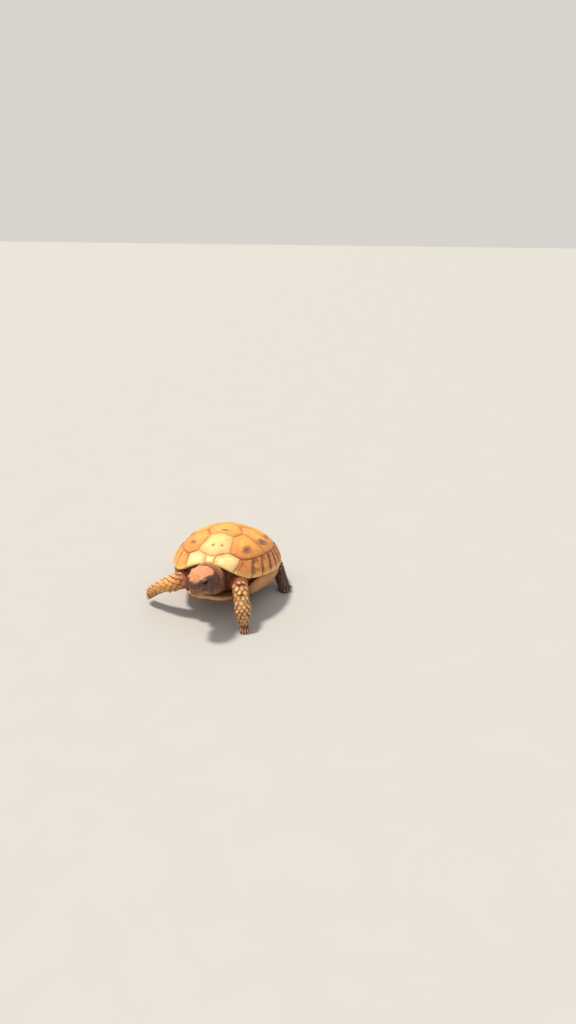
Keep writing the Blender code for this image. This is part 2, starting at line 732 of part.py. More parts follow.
def head_pieces():
    """The head with its eye sockets, the lower jaw and the two eyes."""
    head = head_form("head")
    jaw = head_form("lower_jaw")
    jaw_room, jaw_keep = jaw_box("jaw_room", GAP), jaw_box("jaw_keep", 0.0)
    subtract(head, jaw_room)
    intersect(jaw, jaw_keep)
    pieces = [head, jaw]
    for side, sign in (("left", 1), ("right", -1)):
        forward, left, up = EYE_PLACE
        centre = head_matrix() @ body_point(forward, sign * left, up)
        socket = ball("socket", centre, EYE_RADIUS + GAP)
        subtract(head, socket)
        drop(socket)
        pieces.append(ball(f"eye_{side}", centre, EYE_RADIUS))
    drop(jaw_room, jaw_keep)
    return pieces


NECK_JOINTS = (
    (19.0, 0.0, 18.5, 7.6, 6.8),
    (26.0, 0.0, 22.0, 7.2, 6.4),
    (30.5, 0.4, 24.4, 6.7, 6.4),
    (34.2, 1.0, 26.0, 5.9, 5.8),
    (36.6, 0.8, 26.4, 4.5, 4.3),
)
TAIL_JOINTS = (
    (-22.0, 0.0, 9.0, 3.4, 3.0),
    (-27.5, 0.0, 8.6, 3.0, 2.5),
    (-31.5, 0.6, 7.0, 2.2, 1.9),
    (-34.5, 1.6, 5.2, 1.4, 1.2),
    (-36.0, 2.4, 4.3, 0.5, 0.5),
)


# ---------------------------------------------------------------- materials

COLOURS = {
    "shell": (0.80, 0.55, 0.22, 1.0),
    "plastron": (0.78, 0.58, 0.28, 1.0),
    "skin": (0.36, 0.22, 0.13, 1.0),
    "head": (0.45, 0.27, 0.15, 1.0),
    "beak": (0.62, 0.46, 0.26, 1.0),
    "scales": (0.68, 0.47, 0.22, 1.0),
    "claw": (0.20, 0.13, 0.08, 1.0),
    "eye": (0.02, 0.015, 0.012, 1.0),
}
ROUGHNESS = {"shell": 0.45, "plastron": 0.5, "claw": 0.35, "eye": 0.08}


def material(name):
    made = bpy.data.materials.get(name) or bpy.data.materials.new(name)
    made.use_nodes = True
    shader = made.node_tree.nodes["Principled BSDF"]
    shader.inputs["Base Color"].default_value = COLOURS[name]
    shader.inputs["Roughness"].default_value = ROUGHNESS.get(name, 0.65)
    shader.inputs["Metallic"].default_value = 0.0
    return made


def paint(obj, name):
    obj.data.materials.clear()
    obj.data.materials.append(material(name))
    obj.data.shade_smooth()
    obj.data.set_sharp_from_angle(angle=math.radians(40))


# ---------------------------------------------------------------- the whole animal


def centre_on_floor(objects):
    """Moves everything so that the middle of its box is over the origin and the soles are at height 0."""
    corners = [obj.matrix_world @ v.co for obj in objects for v in obj.data.vertices]
    low = Vector([min(c[i] for c in corners) for i in range(3)])
    high = Vector([max(c[i] for c in corners) for i in range(3)])
    shift = Matrix.Translation((-(low.x + high.x) / 2, -(low.y + high.y) / 2, -low.z))
    for obj in objects:
        obj.data.transform(shift)


def main():
    for obj in list(bpy.data.objects):
        bpy.data.objects.remove(obj)

    upper, lower, body = carapace(), plastron(), trunk()
    upper_room, lower_room, body_room = room_for(upper), room_for(lower), room_for(body)
    subtract(body, lower_room)
    subtract(body, upper_room)
    skull = head_form("skull")
    head_room = room_for(skull)
    paint(upper, "shell")
    paint(lower, "plastron")
    paint(body, "skin")
    made = [upper, lower, body]

    neck = limb("neck", NECK_JOINTS, (0, 1, 0), 20)
    tail = limb("tail", TAIL_JOINTS, (0, 1, 0), 12)
    neck_room = room_for(neck)
    for piece in (neck, tail):
        for room in (body_room, upper_room, lower_room):
            subtract(piece, room)
        paint(piece, "skin")
        made.append(piece)
    subtract(neck, head_room)
    keep_longest(neck)
    keep_longest(tail)

    for leg, facts in LEGS.items():
        piece = limb(leg, facts["joints"], facts["broad"])
        foot_room = room_for(piece)
        for room in (body_room, neck_room, upper_room, lower_room):
            subtract(piece, room)
        keep_longest(piece)
        if facts["stands"]:
            flat_sole(piece)
        paint(piece, "scales" if leg.startswith("fore") else "skin")
        made.append(piece)
        for claw in claws(leg, foot_room):
            paint(claw, "claw")
            made.append(claw)
        drop(foot_room)

    pieces = head_pieces()
    for piece, name in zip(pieces, ("head", "beak", "eye", "eye")):
        paint(piece, name)
    made += pieces
    drop(upper_room, lower_room, body_room, head_room, neck_room, skull)
    centre_on_floor(made)


main()
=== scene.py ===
"""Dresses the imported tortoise: shell plates with seams and growth rings, one skin over the flesh with solid
scales on it, eyes, lids and claws, and a plain studio with the camera.

Places are given in three frames, each as (forward, left, up): the head's own, the shell's own, whose origin is
at the middle of the shell, level with the rim at the bridge, and the body's, which stands on the floor under it.
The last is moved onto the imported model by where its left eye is. Colours are the usual hexadecimal digits, and
the last number that a noise function takes is its seed.
"""

import itertools
import math

import bmesh
import bpy
import numpy as np
from mathutils import Matrix, Vector
from mathutils.bvhtree import BVHTree


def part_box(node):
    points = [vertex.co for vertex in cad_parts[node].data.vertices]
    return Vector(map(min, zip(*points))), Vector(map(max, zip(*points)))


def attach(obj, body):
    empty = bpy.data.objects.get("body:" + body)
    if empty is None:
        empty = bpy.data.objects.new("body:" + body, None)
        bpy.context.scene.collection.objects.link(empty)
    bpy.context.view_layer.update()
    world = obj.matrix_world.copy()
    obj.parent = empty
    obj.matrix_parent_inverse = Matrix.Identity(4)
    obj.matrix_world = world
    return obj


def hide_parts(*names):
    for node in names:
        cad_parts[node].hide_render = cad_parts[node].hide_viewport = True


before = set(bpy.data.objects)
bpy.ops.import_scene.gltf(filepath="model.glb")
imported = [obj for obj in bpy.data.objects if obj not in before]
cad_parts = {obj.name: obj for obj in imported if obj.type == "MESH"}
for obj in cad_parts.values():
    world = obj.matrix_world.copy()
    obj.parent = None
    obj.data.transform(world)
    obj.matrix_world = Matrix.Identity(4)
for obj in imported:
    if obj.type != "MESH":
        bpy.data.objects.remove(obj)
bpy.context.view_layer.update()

MM = 0.001
SIDES = (("left", 1), ("right", -1))
WELD = 2e-6  # points of neighbouring scutes closer than this become one
FULL_TURN = 2 * math.pi
NOISE_CELLS = 32  # after so many cells the random patterns repeat

# ---------------------------------------------------------------- sizes, as the solids have them

SHELL_HALF_LENGTH = 32.5 * MM
SHELL_HALF_WIDTH = 26.0 * MM
DOME_HEIGHT = 19.4 * MM
PLASTRON_DEPTH = 10.8 * MM
SHELL_WALL = 1.3 * MM
GAP = 0.3 * MM
OUTLINE_POWER = 2.12
EGG = 0.05
NUCHAL_NOTCH = 0.8 * MM
NUCHAL_NOTCH_ANGLE = 0.16
NUCHAL_ARCH = 6.9 * MM
NUCHAL_ARCH_ANGLE = math.radians(40)
THIGH_ARCH = 3.0 * MM
THIGH_ARCH_ANGLE = math.radians(140)
THIGH_ARCH_SPREAD = 0.36
PROFILE_FRONT = 1.44
PROFILE_SIDE = 1.76
PROFILE_REAR = 1.7
SHELL_PITCH = math.radians(12)
SHELL_ROLL = math.radians(1.8)
SHELL_RIM_LEVEL = 16.7 * MM

VERTEBRAL_SEAMS = ((0.315, 0.150), (-0.02, 0.155), (-0.30, 0.140), (-0.51, 0.105))
VERTEBRAL_CORNERS = ((0.165, 0.260), (-0.16, 0.265), (-0.41, 0.235))
FIRST_VERTEBRAL_ANGLE = math.radians(19)
LAST_VERTEBRAL_ANGLE = math.radians(160)
COSTAL_SEAM_ANGLES = tuple(math.radians(a) for a in (71, 100, 130))
MARGINAL_TOP = (0.68, 0.67, 0.69)
DISC_STEP = 1e-3  # the step on the disc from which slopes are taken
NUCHAL_TOP_RISE = 0.08
NUCHAL_TOP_SPREAD = 0.15
FIRST_VERTEBRAL_DIP = 0.045
FIRST_VERTEBRAL_DIP_SPREAD = 0.14
NUCHAL_WIDTH = 3.6 * MM
MARGINAL_WIDTHS = (10.0, 10.2, 7.3, 7.4, 7.3, 7.0, 7.0, 7.1, 7.3, 7.7, 8.2)
MARGINAL_LEAN = (0.04, 0.15, 0.09, 0.09, 0.09, 0.06, 0.0, -0.04, -0.06, -0.06, -0.04, 0.0)
SUPRACAUDAL_WIDTH = 12.0 * MM
SCUTE_HEIGHT = 0.75 * MM
SCUTE_FULL_SIZE = 5.5 * MM

PLASTRON_FRONT = 29.5 * MM
PLASTRON_REAR = -28.0 * MM
PLASTRON_TAIL_RISE = 1.8 * MM
PLASTRON_HALF_WIDTH = 16.5 * MM
PLASTRON_WALL = 1.6 * MM
PLASTRON_END_SHARE = 0.55
PLASTRON_EDGE_RISE = 1.8 * MM
PLASTRON_FLAT_SHARE = 0.6
BRIDGE_FRONT = 18.5 * MM
BRIDGE_REAR = -11.0 * MM
BRIDGE_TURN = 5.0 * MM
BRIDGE_RIM_INSET = 0.5 * MM

HEAD_BACK = Vector((34.0, 1.3, 27.2)) * MM
HEAD_TURN = math.radians(15)
HEAD_DROP = math.radians(9)
EYE_RADIUS = 1.8 * MM
EYE_PLACE = Vector((8.7, 3.35, 2.3)) * MM

HEAD_STATIONS = (
    (0.0, 3.5, 3.6, -3.9),
    (0.8, 4.8, 4.8, -5.0),
    (2.6, 5.7, 5.6, -5.9),
    (4.8, 5.9, 5.9, -6.2),
    (7.0, 5.4, 5.9, -6.0),
    (8.8, 4.7, 5.5, -5.6),
    (10.2, 4.0, 4.7, -5.3),
    (11.5, 3.3, 3.7, -5.0),
    (12.5, 2.6, 2.5, -4.6),
    (13.1, 1.9, 1.3, -4.1),
    (13.4, 1.2, 0.3, -3.4),
)
HEAD_SQUARENESS = 2.6

NECK_JOINTS = (
    (19.0, 0.0, 18.5, 7.6, 6.8),
    (26.0, 0.0, 22.0, 7.2, 6.4),
    (30.5, 0.4, 24.4, 6.7, 6.4),
    (34.2, 1.0, 26.0, 5.9, 5.8),
    (36.6, 0.8, 26.4, 4.5, 4.3),
)
TAIL_JOINTS = (
    (-22.0, 0.0, 9.0, 3.4, 3.0),
    (-27.5, 0.0, 8.6, 3.0, 2.5),
    (-31.5, 0.6, 7.0, 2.2, 1.9),
    (-34.5, 1.6, 5.2, 1.4, 1.2),
    (-36.0, 2.4, 4.3, 0.5, 0.5),
)
LEGS = {
    "foreleg_left": {
        "joints": (
            (20.0, 10.0, 19.0, 4.6, 4.2),
            (27.0, 13.8, 19.2, 4.3, 4.0),
            (31.0, 15.6, 16.3, 3.9, 3.4),
            (33.4, 16.9, 11.0, 3.9, 3.0),
            (34.8, 17.6, 6.5, 3.3, 2.6),
            (35.8, 18.1, 2.8, 2.6, 2.2),
            (36.8, 18.6, -0.8, 2.4, 2.0),
        ),
        "broad": (-0.35, 0.94, 0.0),
        "toes": 5,
    },
    "foreleg_right": {
        "joints": (
            (20.5, -8.0, 18.5, 4.6, 4.2),
            (24.0, -13.5, 17.8, 4.8, 4.3),
            (24.2, -19.5, 15.3, 4.2, 3.6),
            (22.8, -26.0, 12.2, 3.7, 2.9),
            (21.2, -30.6, 8.9, 3.4, 2.5),
            (19.9, -33.4, 6.3, 3.0, 2.1),
            (19.0, -34.9, 4.9, 2.2, 1.5),
        ),
        "broad": (0.72, 0.1, -0.65),
        "toes": 5,
    },
    "hindleg_left": {
        "joints": (
            (-16.0, 10.0, 12.5, 4.8, 4.8),
            (-16.5, 16.5, 12.8, 4.8, 4.7),
            (-14.5, 21.5, 10.8, 4.1, 4.0),
            (-11.0, 24.9, 7.0, 3.4, 3.4),
            (-8.3, 27.2, 3.0, 3.3, 3.3),
            (-6.9, 28.4, -0.8, 3.2, 3.1),
        ),
        "broad": (0.9, 0.3, 0.0),
        "toes": 4,
    },
    "hindleg_right": {
        "joints": (
            (-15.0, -11.0, 12.5, 4.8, 4.8),
            (-18.0, -16.5, 13.5, 4.9, 4.8),
            (-21.0, -21.0, 11.0, 4.2, 4.2),
            (-23.4, -23.8, 7.0, 3.6, 3.7),
            (-24.6, -24.9, 3.0, 3.6, 3.7),
            (-25.0, -25.4, -0.8, 3.3, 3.3),
        ),
        "broad": (0.9, -0.3, 0.0),
        "toes": 4,
    },
}
TOES = {
    "foreleg_left": {"root": (38.3, 19.3, 1.7), "point": (0.74, 0.33, -0.48), "row": (-0.8, 2.1, 0.0)},
    "foreleg_right": {"root": (18.8, -35.7, 4.7), "point": (-0.05, -0.88, -0.45), "row": (2.3, 0.6, -1.6)},
    "hindleg_left": {"root": (-5.3, 30.8, 1.7), "point": (0.5, 0.75, -0.42), "row": (-2.4, 1.4, 0.0)},
    "hindleg_right": {"root": (-22.2, -27.6, 1.7), "point": (0.62, -0.66, -0.42), "row": (-2.2, -2.3, 0.0)},
}
CLAW_LENGTH = {5: 2.9 * MM, 4: 2.5 * MM}
CLAW_HALF_WIDTH = 0.5 * MM


# ---------------------------------------------------------------- small helpers


def smooth(t):
    """A smooth step from 0 to 1 as t goes from 0 to 1."""
    t = np.clip(t, 0.0, 1.0)
    return t * t * (3 - 2 * t)


def bell(distance, width):
    return np.exp(-((distance / width) ** 2))


def colour(text):
    """A linear colour from the usual six hexadecimal digits. Linear colours are given back as they are."""
    if not isinstance(text, str):
        return text
    values = np.array([int(text[i : i + 2], 16) / 255 for i in (0, 2, 4)])
    return np.where(values <= 0.04045, values / 12.92, ((values + 0.055) / 1.055) ** 2.4)


def mixed(base, *layers):
    """Colours moved towards other colours, one after another. Each layer is (colour, each point's share of it)."""
    rows = colour(base)
    for other, share in layers:
        share = np.clip(np.asarray(share, float), 0, 1)[..., None]
        rows = rows * (1 - share) + colour(other) * share
    return rows


def unit(rows):
    """Vectors of length 1 along the last axis."""
    rows = np.asarray(rows, float)
    return rows / np.linalg.norm(rows, axis=-1, keepdims=True)


def body_point(forward, left, up):
    """A place in the body frame as a Blender vector."""
    return Vector((left, -forward, up))


def body_mm(forward, left, up):
    return body_point(forward * MM, left * MM, up * MM)


def shell_matrix():
    lean = Matrix.Rotation(-SHELL_PITCH, 4, "X") @ Matrix.Rotation(SHELL_ROLL, 4, "Y")
    return Matrix.Translation((0, 0, SHELL_RIM_LEVEL)) @ lean


def head_matrix():
    turn = Matrix.Rotation(-HEAD_TURN, 4, "Z") @ Matrix.Rotation(HEAD_DROP, 4, "X")
    return Matrix.Translation(body_point(*HEAD_BACK)) @ turn


def body_to_model():
    """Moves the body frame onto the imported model."""
    low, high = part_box("eye_left")
    return Matrix.Translation((low + high) / 2 - head_matrix() @ body_point(*EYE_PLACE))


def moved(points, matrix):
    """Rows of points, moved by a matrix."""
    matrix = np.array(matrix)
    return np.asarray(points) @ matrix[:3, :3].T + matrix[:3, 3]


def in_frame(points, matrix):
    """The points in the frame that the matrix places, as (forward, left, up) rows in millimetres."""
    local = moved(points, matrix.inverted())
    return np.stack([-local[:, 1], local[:, 0], local[:, 2]], axis=1) / MM


def noise(points, size, seed):
    """Smooth random values from -1 to 1 over rows of points, with features about size across."""
    table = np.random.default_rng(seed).uniform(-1, 1, (NOISE_CELLS,) * 3)
    spots = np.asarray(points) / size
    cell = np.floor(spots).astype(int)
    part = smooth(spots - cell)
    total = np.zeros(len(spots))
    for corner in itertools.product((0, 1), repeat=3):
        weight = np.prod(np.where(np.array(corner) == 1, part, 1 - part), axis=1)
        total += weight * table[tuple(((cell + corner) % NOISE_CELLS).T)]
    return total


def rough_noise(points, size, seed):
    return (noise(points, size, seed) + 0.5 * noise(points, size / 2.1, seed + 1)) / 1.5


def pebbles(points, size, seed):
    """Distances, in cubes, to the nearest two of points scattered one to a cube, and the nearest's own value."""
    source = np.random.default_rng(seed)
    places = 0.5 + source.uniform(-0.4, 0.4, (NOISE_CELLS,) * 3 + (3,))
    values = source.random((NOISE_CELLS,) * 3)
    spots = np.asarray(points) / size
    base = np.floor(spots).astype(int)
    nearest = np.full(len(spots), 9.0)
    second = nearest.copy()
    value = np.zeros(len(spots))
    for offset in itertools.product((-1, 0, 1), repeat=3):
        cell = base + offset
        index = tuple((cell % NOISE_CELLS).T)
        distance = np.linalg.norm(cell + places[index] - spots, axis=1)
        closer = distance < nearest
        second = np.where(closer, nearest, np.minimum(second, distance))
        value = np.where(closer, values[index], value)
        nearest = np.minimum(nearest, distance)
    return nearest, second, value


def curve_distance(points, curve):
    """Each point's distance to a chain of straight pieces, and its nearest place along the chain, from 0 to 1."""
    curve = np.asarray(curve, float)
    best = np.full(len(points), 1e9)
    along = np.zeros(len(points))
    for i in range(len(curve) - 1):
        step = curve[i + 1] - curve[i]
        t = np.clip((points - curve[i]) @ step / (step @ step), 0, 1)
        distance = np.linalg.norm(points - curve[i] - t[:, None] * step, axis=1)
        closer = distance < best
        along = np.where(closer, (i + t) / (len(curve) - 1), along)
        best = np.minimum(best, distance)
    return best, along


def through(knots, per_span):
    """A smooth curve through rows of numbers, as Catmull-Rom spans."""
    knots = np.asarray(knots, float)
    padded = np.vstack([2 * knots[0] - knots[1], knots, 2 * knots[-1] - knots[-2]])
    rows = []
    for i in range(len(knots) - 1):
        a, b, c, d = padded[i : i + 4]
        square, cube = 2 * a - 5 * b + 4 * c - d, 3 * b - a - 3 * c + d
        for t in np.arange(per_span) / per_span:
            rows.append(0.5 * (2 * b + (c - a) * t + square * t**2 + cube * t**3))
    rows.append(knots[-1])
    return np.array(rows)


# ---------------------------------------------------------------- meshes


def mesh_points(mesh):
    points = np.zeros(len(mesh.vertices) * 3)
    mesh.vertices.foreach_get("co", points)
    return points.reshape(-1, 3)


def mesh_normals(mesh):
    normals = np.zeros(len(mesh.vertices) * 3)
    mesh.vertex_normals.foreach_get("vector", normals)
    return normals.reshape(-1, 3)


def put_points(mesh, points):
    mesh.vertices.foreach_set("co", np.asarray(points, float).ravel())
    mesh.update()


def put_value(mesh, name, values):
    made = mesh.attributes.new(name, "FLOAT", "POINT")
    made.data.foreach_set("value", np.asarray(values, np.float32))


def put_tint(mesh, colours):
    """The colour of the surface, point by point, for the material to read."""
    made = mesh.color_attributes.new("Tint", "FLOAT_COLOR", "POINT")
    rows = np.ones((len(mesh.vertices), 4), np.float32)
    rows[:, :3] = np.clip(colours, 0, 1)
    made.data.foreach_set("color", rows.ravel())


def new_object(name, points, faces):
    mesh = bpy.data.meshes.new(name)
    mesh.from_pydata(np.asarray(points).tolist(), [], faces)
    mesh.validate()
    mesh.shade_smooth()
    made = bpy.data.objects.new(name, mesh)
    bpy.context.scene.collection.objects.link(made)
    return made


def grid_faces(rows, columns, start=0, closed=False, flip=False):
    """Faces over a grid of points, which may close on itself across its columns."""
    faces = []
    for i in range(rows - 1):
        for j in range(columns if closed else columns - 1):
            k = (j + 1) % columns
            a, b = start + i * columns, start + (i + 1) * columns
            face = (a + j, a + k, b + k, b + j)
            faces.append(face[::-1] if flip else face)
    return faces


def fan(faces, start, count, point, flip=False):
    """Adds faces that close a ring of points, from start on, to one more point."""
    for j in range(count):
        face = (start + j, start + (j + 1) % count, point)
        faces.append((face[1], face[0], point) if flip else face)


def mend(piece, weld=0.0):
    """Joins points within the weld distance of each other, and turns all faces outward."""
    bm = bmesh.new()
    bm.from_mesh(piece.data)
    if weld:
        bmesh.ops.remove_doubles(bm, verts=bm.verts, dist=weld)
    bmesh.ops.recalc_face_normals(bm, faces=bm.faces)
    bm.to_mesh(piece.data)
    bm.free()


def finish_piece(piece, material, nodes=()):
    piece.data.materials.clear()
    piece.data.materials.append(material)
    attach(piece, "root")
    if nodes:
        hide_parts(*nodes)


# ---------------------------------------------------------------- materials

NOISE_ROUGHNESS = 0.55


class Nodes:
    """A material's node tree, with short ways to add to it."""

    def __init__(self, name):
        self.material = bpy.data.materials.new(name)
        self.material.use_nodes = True
        self.tree = self.material.node_tree
        self.shader = self.tree.nodes["Principled BSDF"]
        self.place = self.add("TexCoord", {}, "Object")

    def put(self, socket, value):
        """Gives a socket a number, a colour in hexadecimal digits or another node's output."""
        if isinstance(value, bpy.types.NodeSocket):
            self.tree.links.new(value, socket)
        else:
            socket.default_value = (*colour(value), 1.0) if isinstance(value, str) else value

    def add(self, kind, inputs, output, **settings):
        """The output of a new node, with its inputs by name or number."""
        node = self.tree.nodes.new("ShaderNode" + kind)
        for name, value in settings.items():
            setattr(node, name, value)
        for name, value in inputs.items():
            self.put(node.inputs[name], value)
        return node.outputs[output]

    def noise(self, scale, detail):
        inputs = {"Vector": self.place, "Scale": scale, "Detail": detail, "Roughness": NOISE_ROUGHNESS}
        return self.add("TexNoise", inputs, "Fac")

    def span(self, source, low, high, to_low, to_high):
        inputs = {"Value": source, "From Min": low, "From Max": high, "To Min": to_low, "To Max": to_high}
        return self.add("MapRange", inputs, "Result", clamp=True)

    def value(self, name, output="Fac"):
        return self.add("Attribute", {}, output, attribute_name=name)

    def math(self, operation, first, second=0):
        return self.add("Math", {0: first, 1: second}, "Value", operation=operation)

    def mix(self, share, first, second, blend="MIX"):
        """Colours mixed by a share. Inputs 6 and 7 and output 2 are the node's colour sockets."""
        return self.add("Mix", {0: share, 6: first, 7: second}, 2, data_type="RGBA", blend_type=blend)

    def stained(self, spots, start, share, stain):
        """The surface's own tint, darkened where the spots are strong."""
        share = self.span(spots, start, 0.7, 0.0, share)
        return self.mix(share, self.value("Tint", "Color"), stain, "MULTIPLY")

    def glazed(self, base, scale, start, share, glaze):
        """A colour, lightened in spots."""
        share = self.span(self.noise(scale, 3), start, 0.75, 0.0, share)
        return self.mix(share, base, glaze, "SCREEN")

    def bump(self, height, distance, strength, under=None):
        inputs = {"Height": height, "Distance": distance, "Strength": strength}
        if under:
            inputs["Normal"] = under
        return self.add("Bump", inputs, "Normal")

    def finish(self, base, normal, spots, low, high, **values):
        """Ends in the shader. The roughness goes from low to high with the spots."""
        inputs = {"Base Color": base, "Normal": normal, "Roughness": self.span(spots, 0.3, 0.7, low, high)}
        inputs.update({name.replace("_", " "): value for name, value in values.items()})
        for name, value in inputs.items():
            self.put(self.shader.inputs[name], value)
        return self.material


def shell_material():
    """Horn over bone: mottled, with fine growth lines beside the seams and a slight gloss."""
    nodes = Nodes("Scute_Horn")
    base = nodes.glazed(nodes.stained(nodes.noise(420, 5), 0.35, 0.22, "B8763C"), 900, 0.5, 0.18, "F6DCA4")
    wander = nodes.math("MULTIPLY", nodes.noise(350, 2), 2.2)
    lines = nodes.math("SINE", nodes.math("ADD", nodes.math("MULTIPLY", nodes.value("Depth"), 19.0), wander))
    lines = nodes.math("MULTIPLY", lines, nodes.value("Rings"))
    grain = nodes.math("ADD", nodes.math("MULTIPLY", lines, 0.35), nodes.noise(2600, 4))
    gloss = {"Subsurface_Weight": 0.06, "Subsurface_Scale": 0.002, "Specular_IOR_Level": 0.4}
    return nodes.finish(base, nodes.bump(grain, 0.00006, 0.75), nodes.noise(700, 4), 0.42, 0.6, **gloss)


def skin_material():
    """Mottled skin with a fine grain of cells."""
    nodes = Nodes("Skin")
    mottle = nodes.noise(700, 5)
    base = nodes.glazed(nodes.stained(mottle, 0.38, 0.35, "8C5A44"), 1500, 0.52, 0.14, "E8C29A")
    inputs = {"Vector": nodes.place, "Scale": 2300}
    cells = nodes.add("TexVoronoi", inputs, "Distance", feature="DISTANCE_TO_EDGE")
    normal = nodes.bump(nodes.span(cells, 0.0, 0.28, 0.0, 1.0), 0.00007, 0.7)
    normal = nodes.bump(nodes.noise(3800, 4), 0.00004, 0.6, normal)
    return nodes.finish(base, normal, mottle, 0.5, 0.72, Subsurface_Weight=0.08, Subsurface_Scale=0.0012)


def plain_material(name, scale, stained, bumps, low, high, **values):
    """Horn or an eye: a tint stained in spots. stained is (start, share, colour), and bumps is (scale or 0 for the
    spots' own, detail, depth, strength)."""
    nodes = Nodes(name)
    spots = nodes.noise(scale, 5)
    scale, detail, depth, strength = bumps
    height = nodes.noise(scale, detail) if scale else spots
    normal = nodes.bump(height, depth, strength)
    return nodes.finish(nodes.stained(spots, *stained), normal, spots, low, high, **values)


# ---------------------------------------------------------------- the dome and its scutes


def rim_reach(angle):
    """Distance from the shell's middle to its rim in plan. The angle is 0 in front and grows towards the left."""
    half_width = SHELL_HALF_WIDTH * (1 - EGG * np.cos(angle))
    forward = np.abs(np.cos(angle)) / SHELL_HALF_LENGTH
    left = np.abs(np.sin(angle)) / half_width
    return (forward**OUTLINE_POWER + left**OUTLINE_POWER) ** (-1 / OUTLINE_POWER)


def off_front(angle):
    """How far an angle is from the front, on either side."""
    return np.abs(np.arctan2(np.sin(angle), np.cos(angle)))


def rim_height(angle):
    from_front = off_front(angle)
    over_neck = 0.5 + 0.5 * np.cos(np.pi * np.clip(from_front / NUCHAL_ARCH_ANGLE, 0, 1))
    return NUCHAL_ARCH * over_neck + THIGH_ARCH * bell(from_front - THIGH_ARCH_ANGLE, THIGH_ARCH_SPREAD)


def front_and_rear(angle):
    return np.clip(np.cos(angle), 0, 1) ** 2, np.clip(-np.cos(angle), 0, 1) ** 2


def dome_surface(left, forward):
    """Maps the unit disc onto the dome, as an array of (x, y, z) rows in the shell's own frame."""
    radius = np.minimum(np.hypot(left, forward), 1.0)
    angle = np.arctan2(left, forward)
    ahead, behind = front_and_rear(angle)
    power = PROFILE_SIDE + (PROFILE_FRONT - PROFILE_SIDE) * ahead + (PROFILE_REAR - PROFILE_SIDE) * behind
    climb = (1 - radius) * np.pi / 2
    spread, rise = np.cos(climb) ** (2 / power), np.sin(climb) ** (2 / power)
    notch = NUCHAL_NOTCH * bell(angle, NUCHAL_NOTCH_ANGLE)
    reach = rim_reach(angle) * spread - notch * np.cos(climb) ** 8
    rim = rim_height(angle)
    height = rim + (DOME_HEIGHT - rim) * rise
    return np.stack([reach * np.sin(angle), -reach * np.cos(angle), height], axis=-1)


def dome_frame(discs):
    """Places on the dome and its outward normals there."""
    left, forward = np.asarray(discs, float).reshape(-1, 2).T
    inside = np.minimum(1.0, (1 - 2 * DISC_STEP) / np.maximum(np.hypot(left, forward), 1e-9))
    near = left * inside, forward * inside
    along_left, along_forward = (
        dome_surface(near[0] + a, near[1] + b) - dome_surface(near[0] - a, near[1] - b)
        for a, b in ((DISC_STEP, 0), (0, DISC_STEP))
    )
    return dome_surface(left, forward), unit(np.cross(along_forward, along_left))


def dome_points(discs, lift):
    places, normal = dome_frame(discs)
    return places + normal * np.reshape(lift, (-1, 1))


def marginal_top(angle):
    """Disc radius of the seam between the marginals and the scutes above them."""
    front, side, rear = MARGINAL_TOP
    ahead, behind = front_and_rear(angle)
    turned = off_front(angle)
    height = side + (front - side) * ahead + (rear - side) * behind
    height = height + NUCHAL_TOP_RISE * bell(turned, NUCHAL_TOP_SPREAD)
    return height - FIRST_VERTEBRAL_DIP * bell(turned - FIRST_VERTEBRAL_ANGLE, FIRST_VERTEBRAL_DIP_SPREAD)


def marginal_angles():
    """The rim angles at which the left side's marginals meet, from the nuchal's edge to the supracaudal's."""
    angles = np.linspace(0, np.pi, 721)
    rim = dome_surface(np.sin(angles), np.cos(angles))[:, :2]
    run = np.concatenate([[0], np.cumsum(np.linalg.norm(np.diff(rim, axis=0), axis=1))])
    first, last = NUCHAL_WIDTH / 2, run[-1] - SUPRACAUDAL_WIDTH / 2
    shares = np.cumsum((0.0,) + MARGINAL_WIDTHS) / sum(MARGINAL_WIDTHS)
    return np.interp(first + (last - first) * shares, run, angles)


SEAM_STEP = 0.37 * MM  # spacing of points along a seam
SEAM_WAVE = 0.006  # sideways wander of a seam on the disc


def ring_angles(corners):
    """All the corner angles round the ring, with even steps between each two."""
    found = []
    corners = sorted(corners)
    for start, end in zip(corners, corners[1:] + [corners[0] + FULL_TURN]):
        length = (end - start) * rim_reach((start + end) / 2)
        steps = max(1, round(length / SEAM_STEP))
        found += [start + (end - start) * i / steps for i in range(steps)]
    return found


def on_ring(angle, radius=None):
    radius = marginal_top(angle) if radius is None else radius
    return (math.sin(angle) * radius, math.cos(angle) * radius)


def seam(start, end):
    """The points of a seam, without its last, and alike from both sides. It wanders a little, as real seams do."""
    first, last = sorted((tuple(start), tuple(end)))
    length = np.linalg.norm(np.subtract(*dome_points([first, last], 0.0)))
    steps = max(1, round(length / SEAM_STEP))
    run = np.subtract(last, first)
    across = np.array((-run[1], run[0])) / np.hypot(*run)
    wave = SEAM_WAVE * math.sin(37.0 * (first[0] + last[0]) + 53.0 * (first[1] + last[1]))
    shares = np.linspace(0, 1, steps + 1)
    points = [tuple(first + run * share + across * wave * math.sin(FULL_TURN * share)) for share in shares]
    return (points if tuple(start) == first else points[::-1])[:-1]


def chain(points):
    """The seams from each point to the next, in one list."""
    return [spot for start, end in zip(points, points[1:]) for spot in seam(start, end)]


def arc(angles, start, end, radius=None):
    """The points along a ring from one corner angle to the next, without its last. It runs either way."""
    low, high = min(start, end), max(start, end)
    spots = [a + k * FULL_TURN for a in angles for k in (-1, 0, 1)]
    spots = sorted(a for a in spots if low - 1e-9 <= a <= high + 1e-9)
    return [on_ring(a, radius) for a in (spots if start < end else spots[::-1])[:-1]]


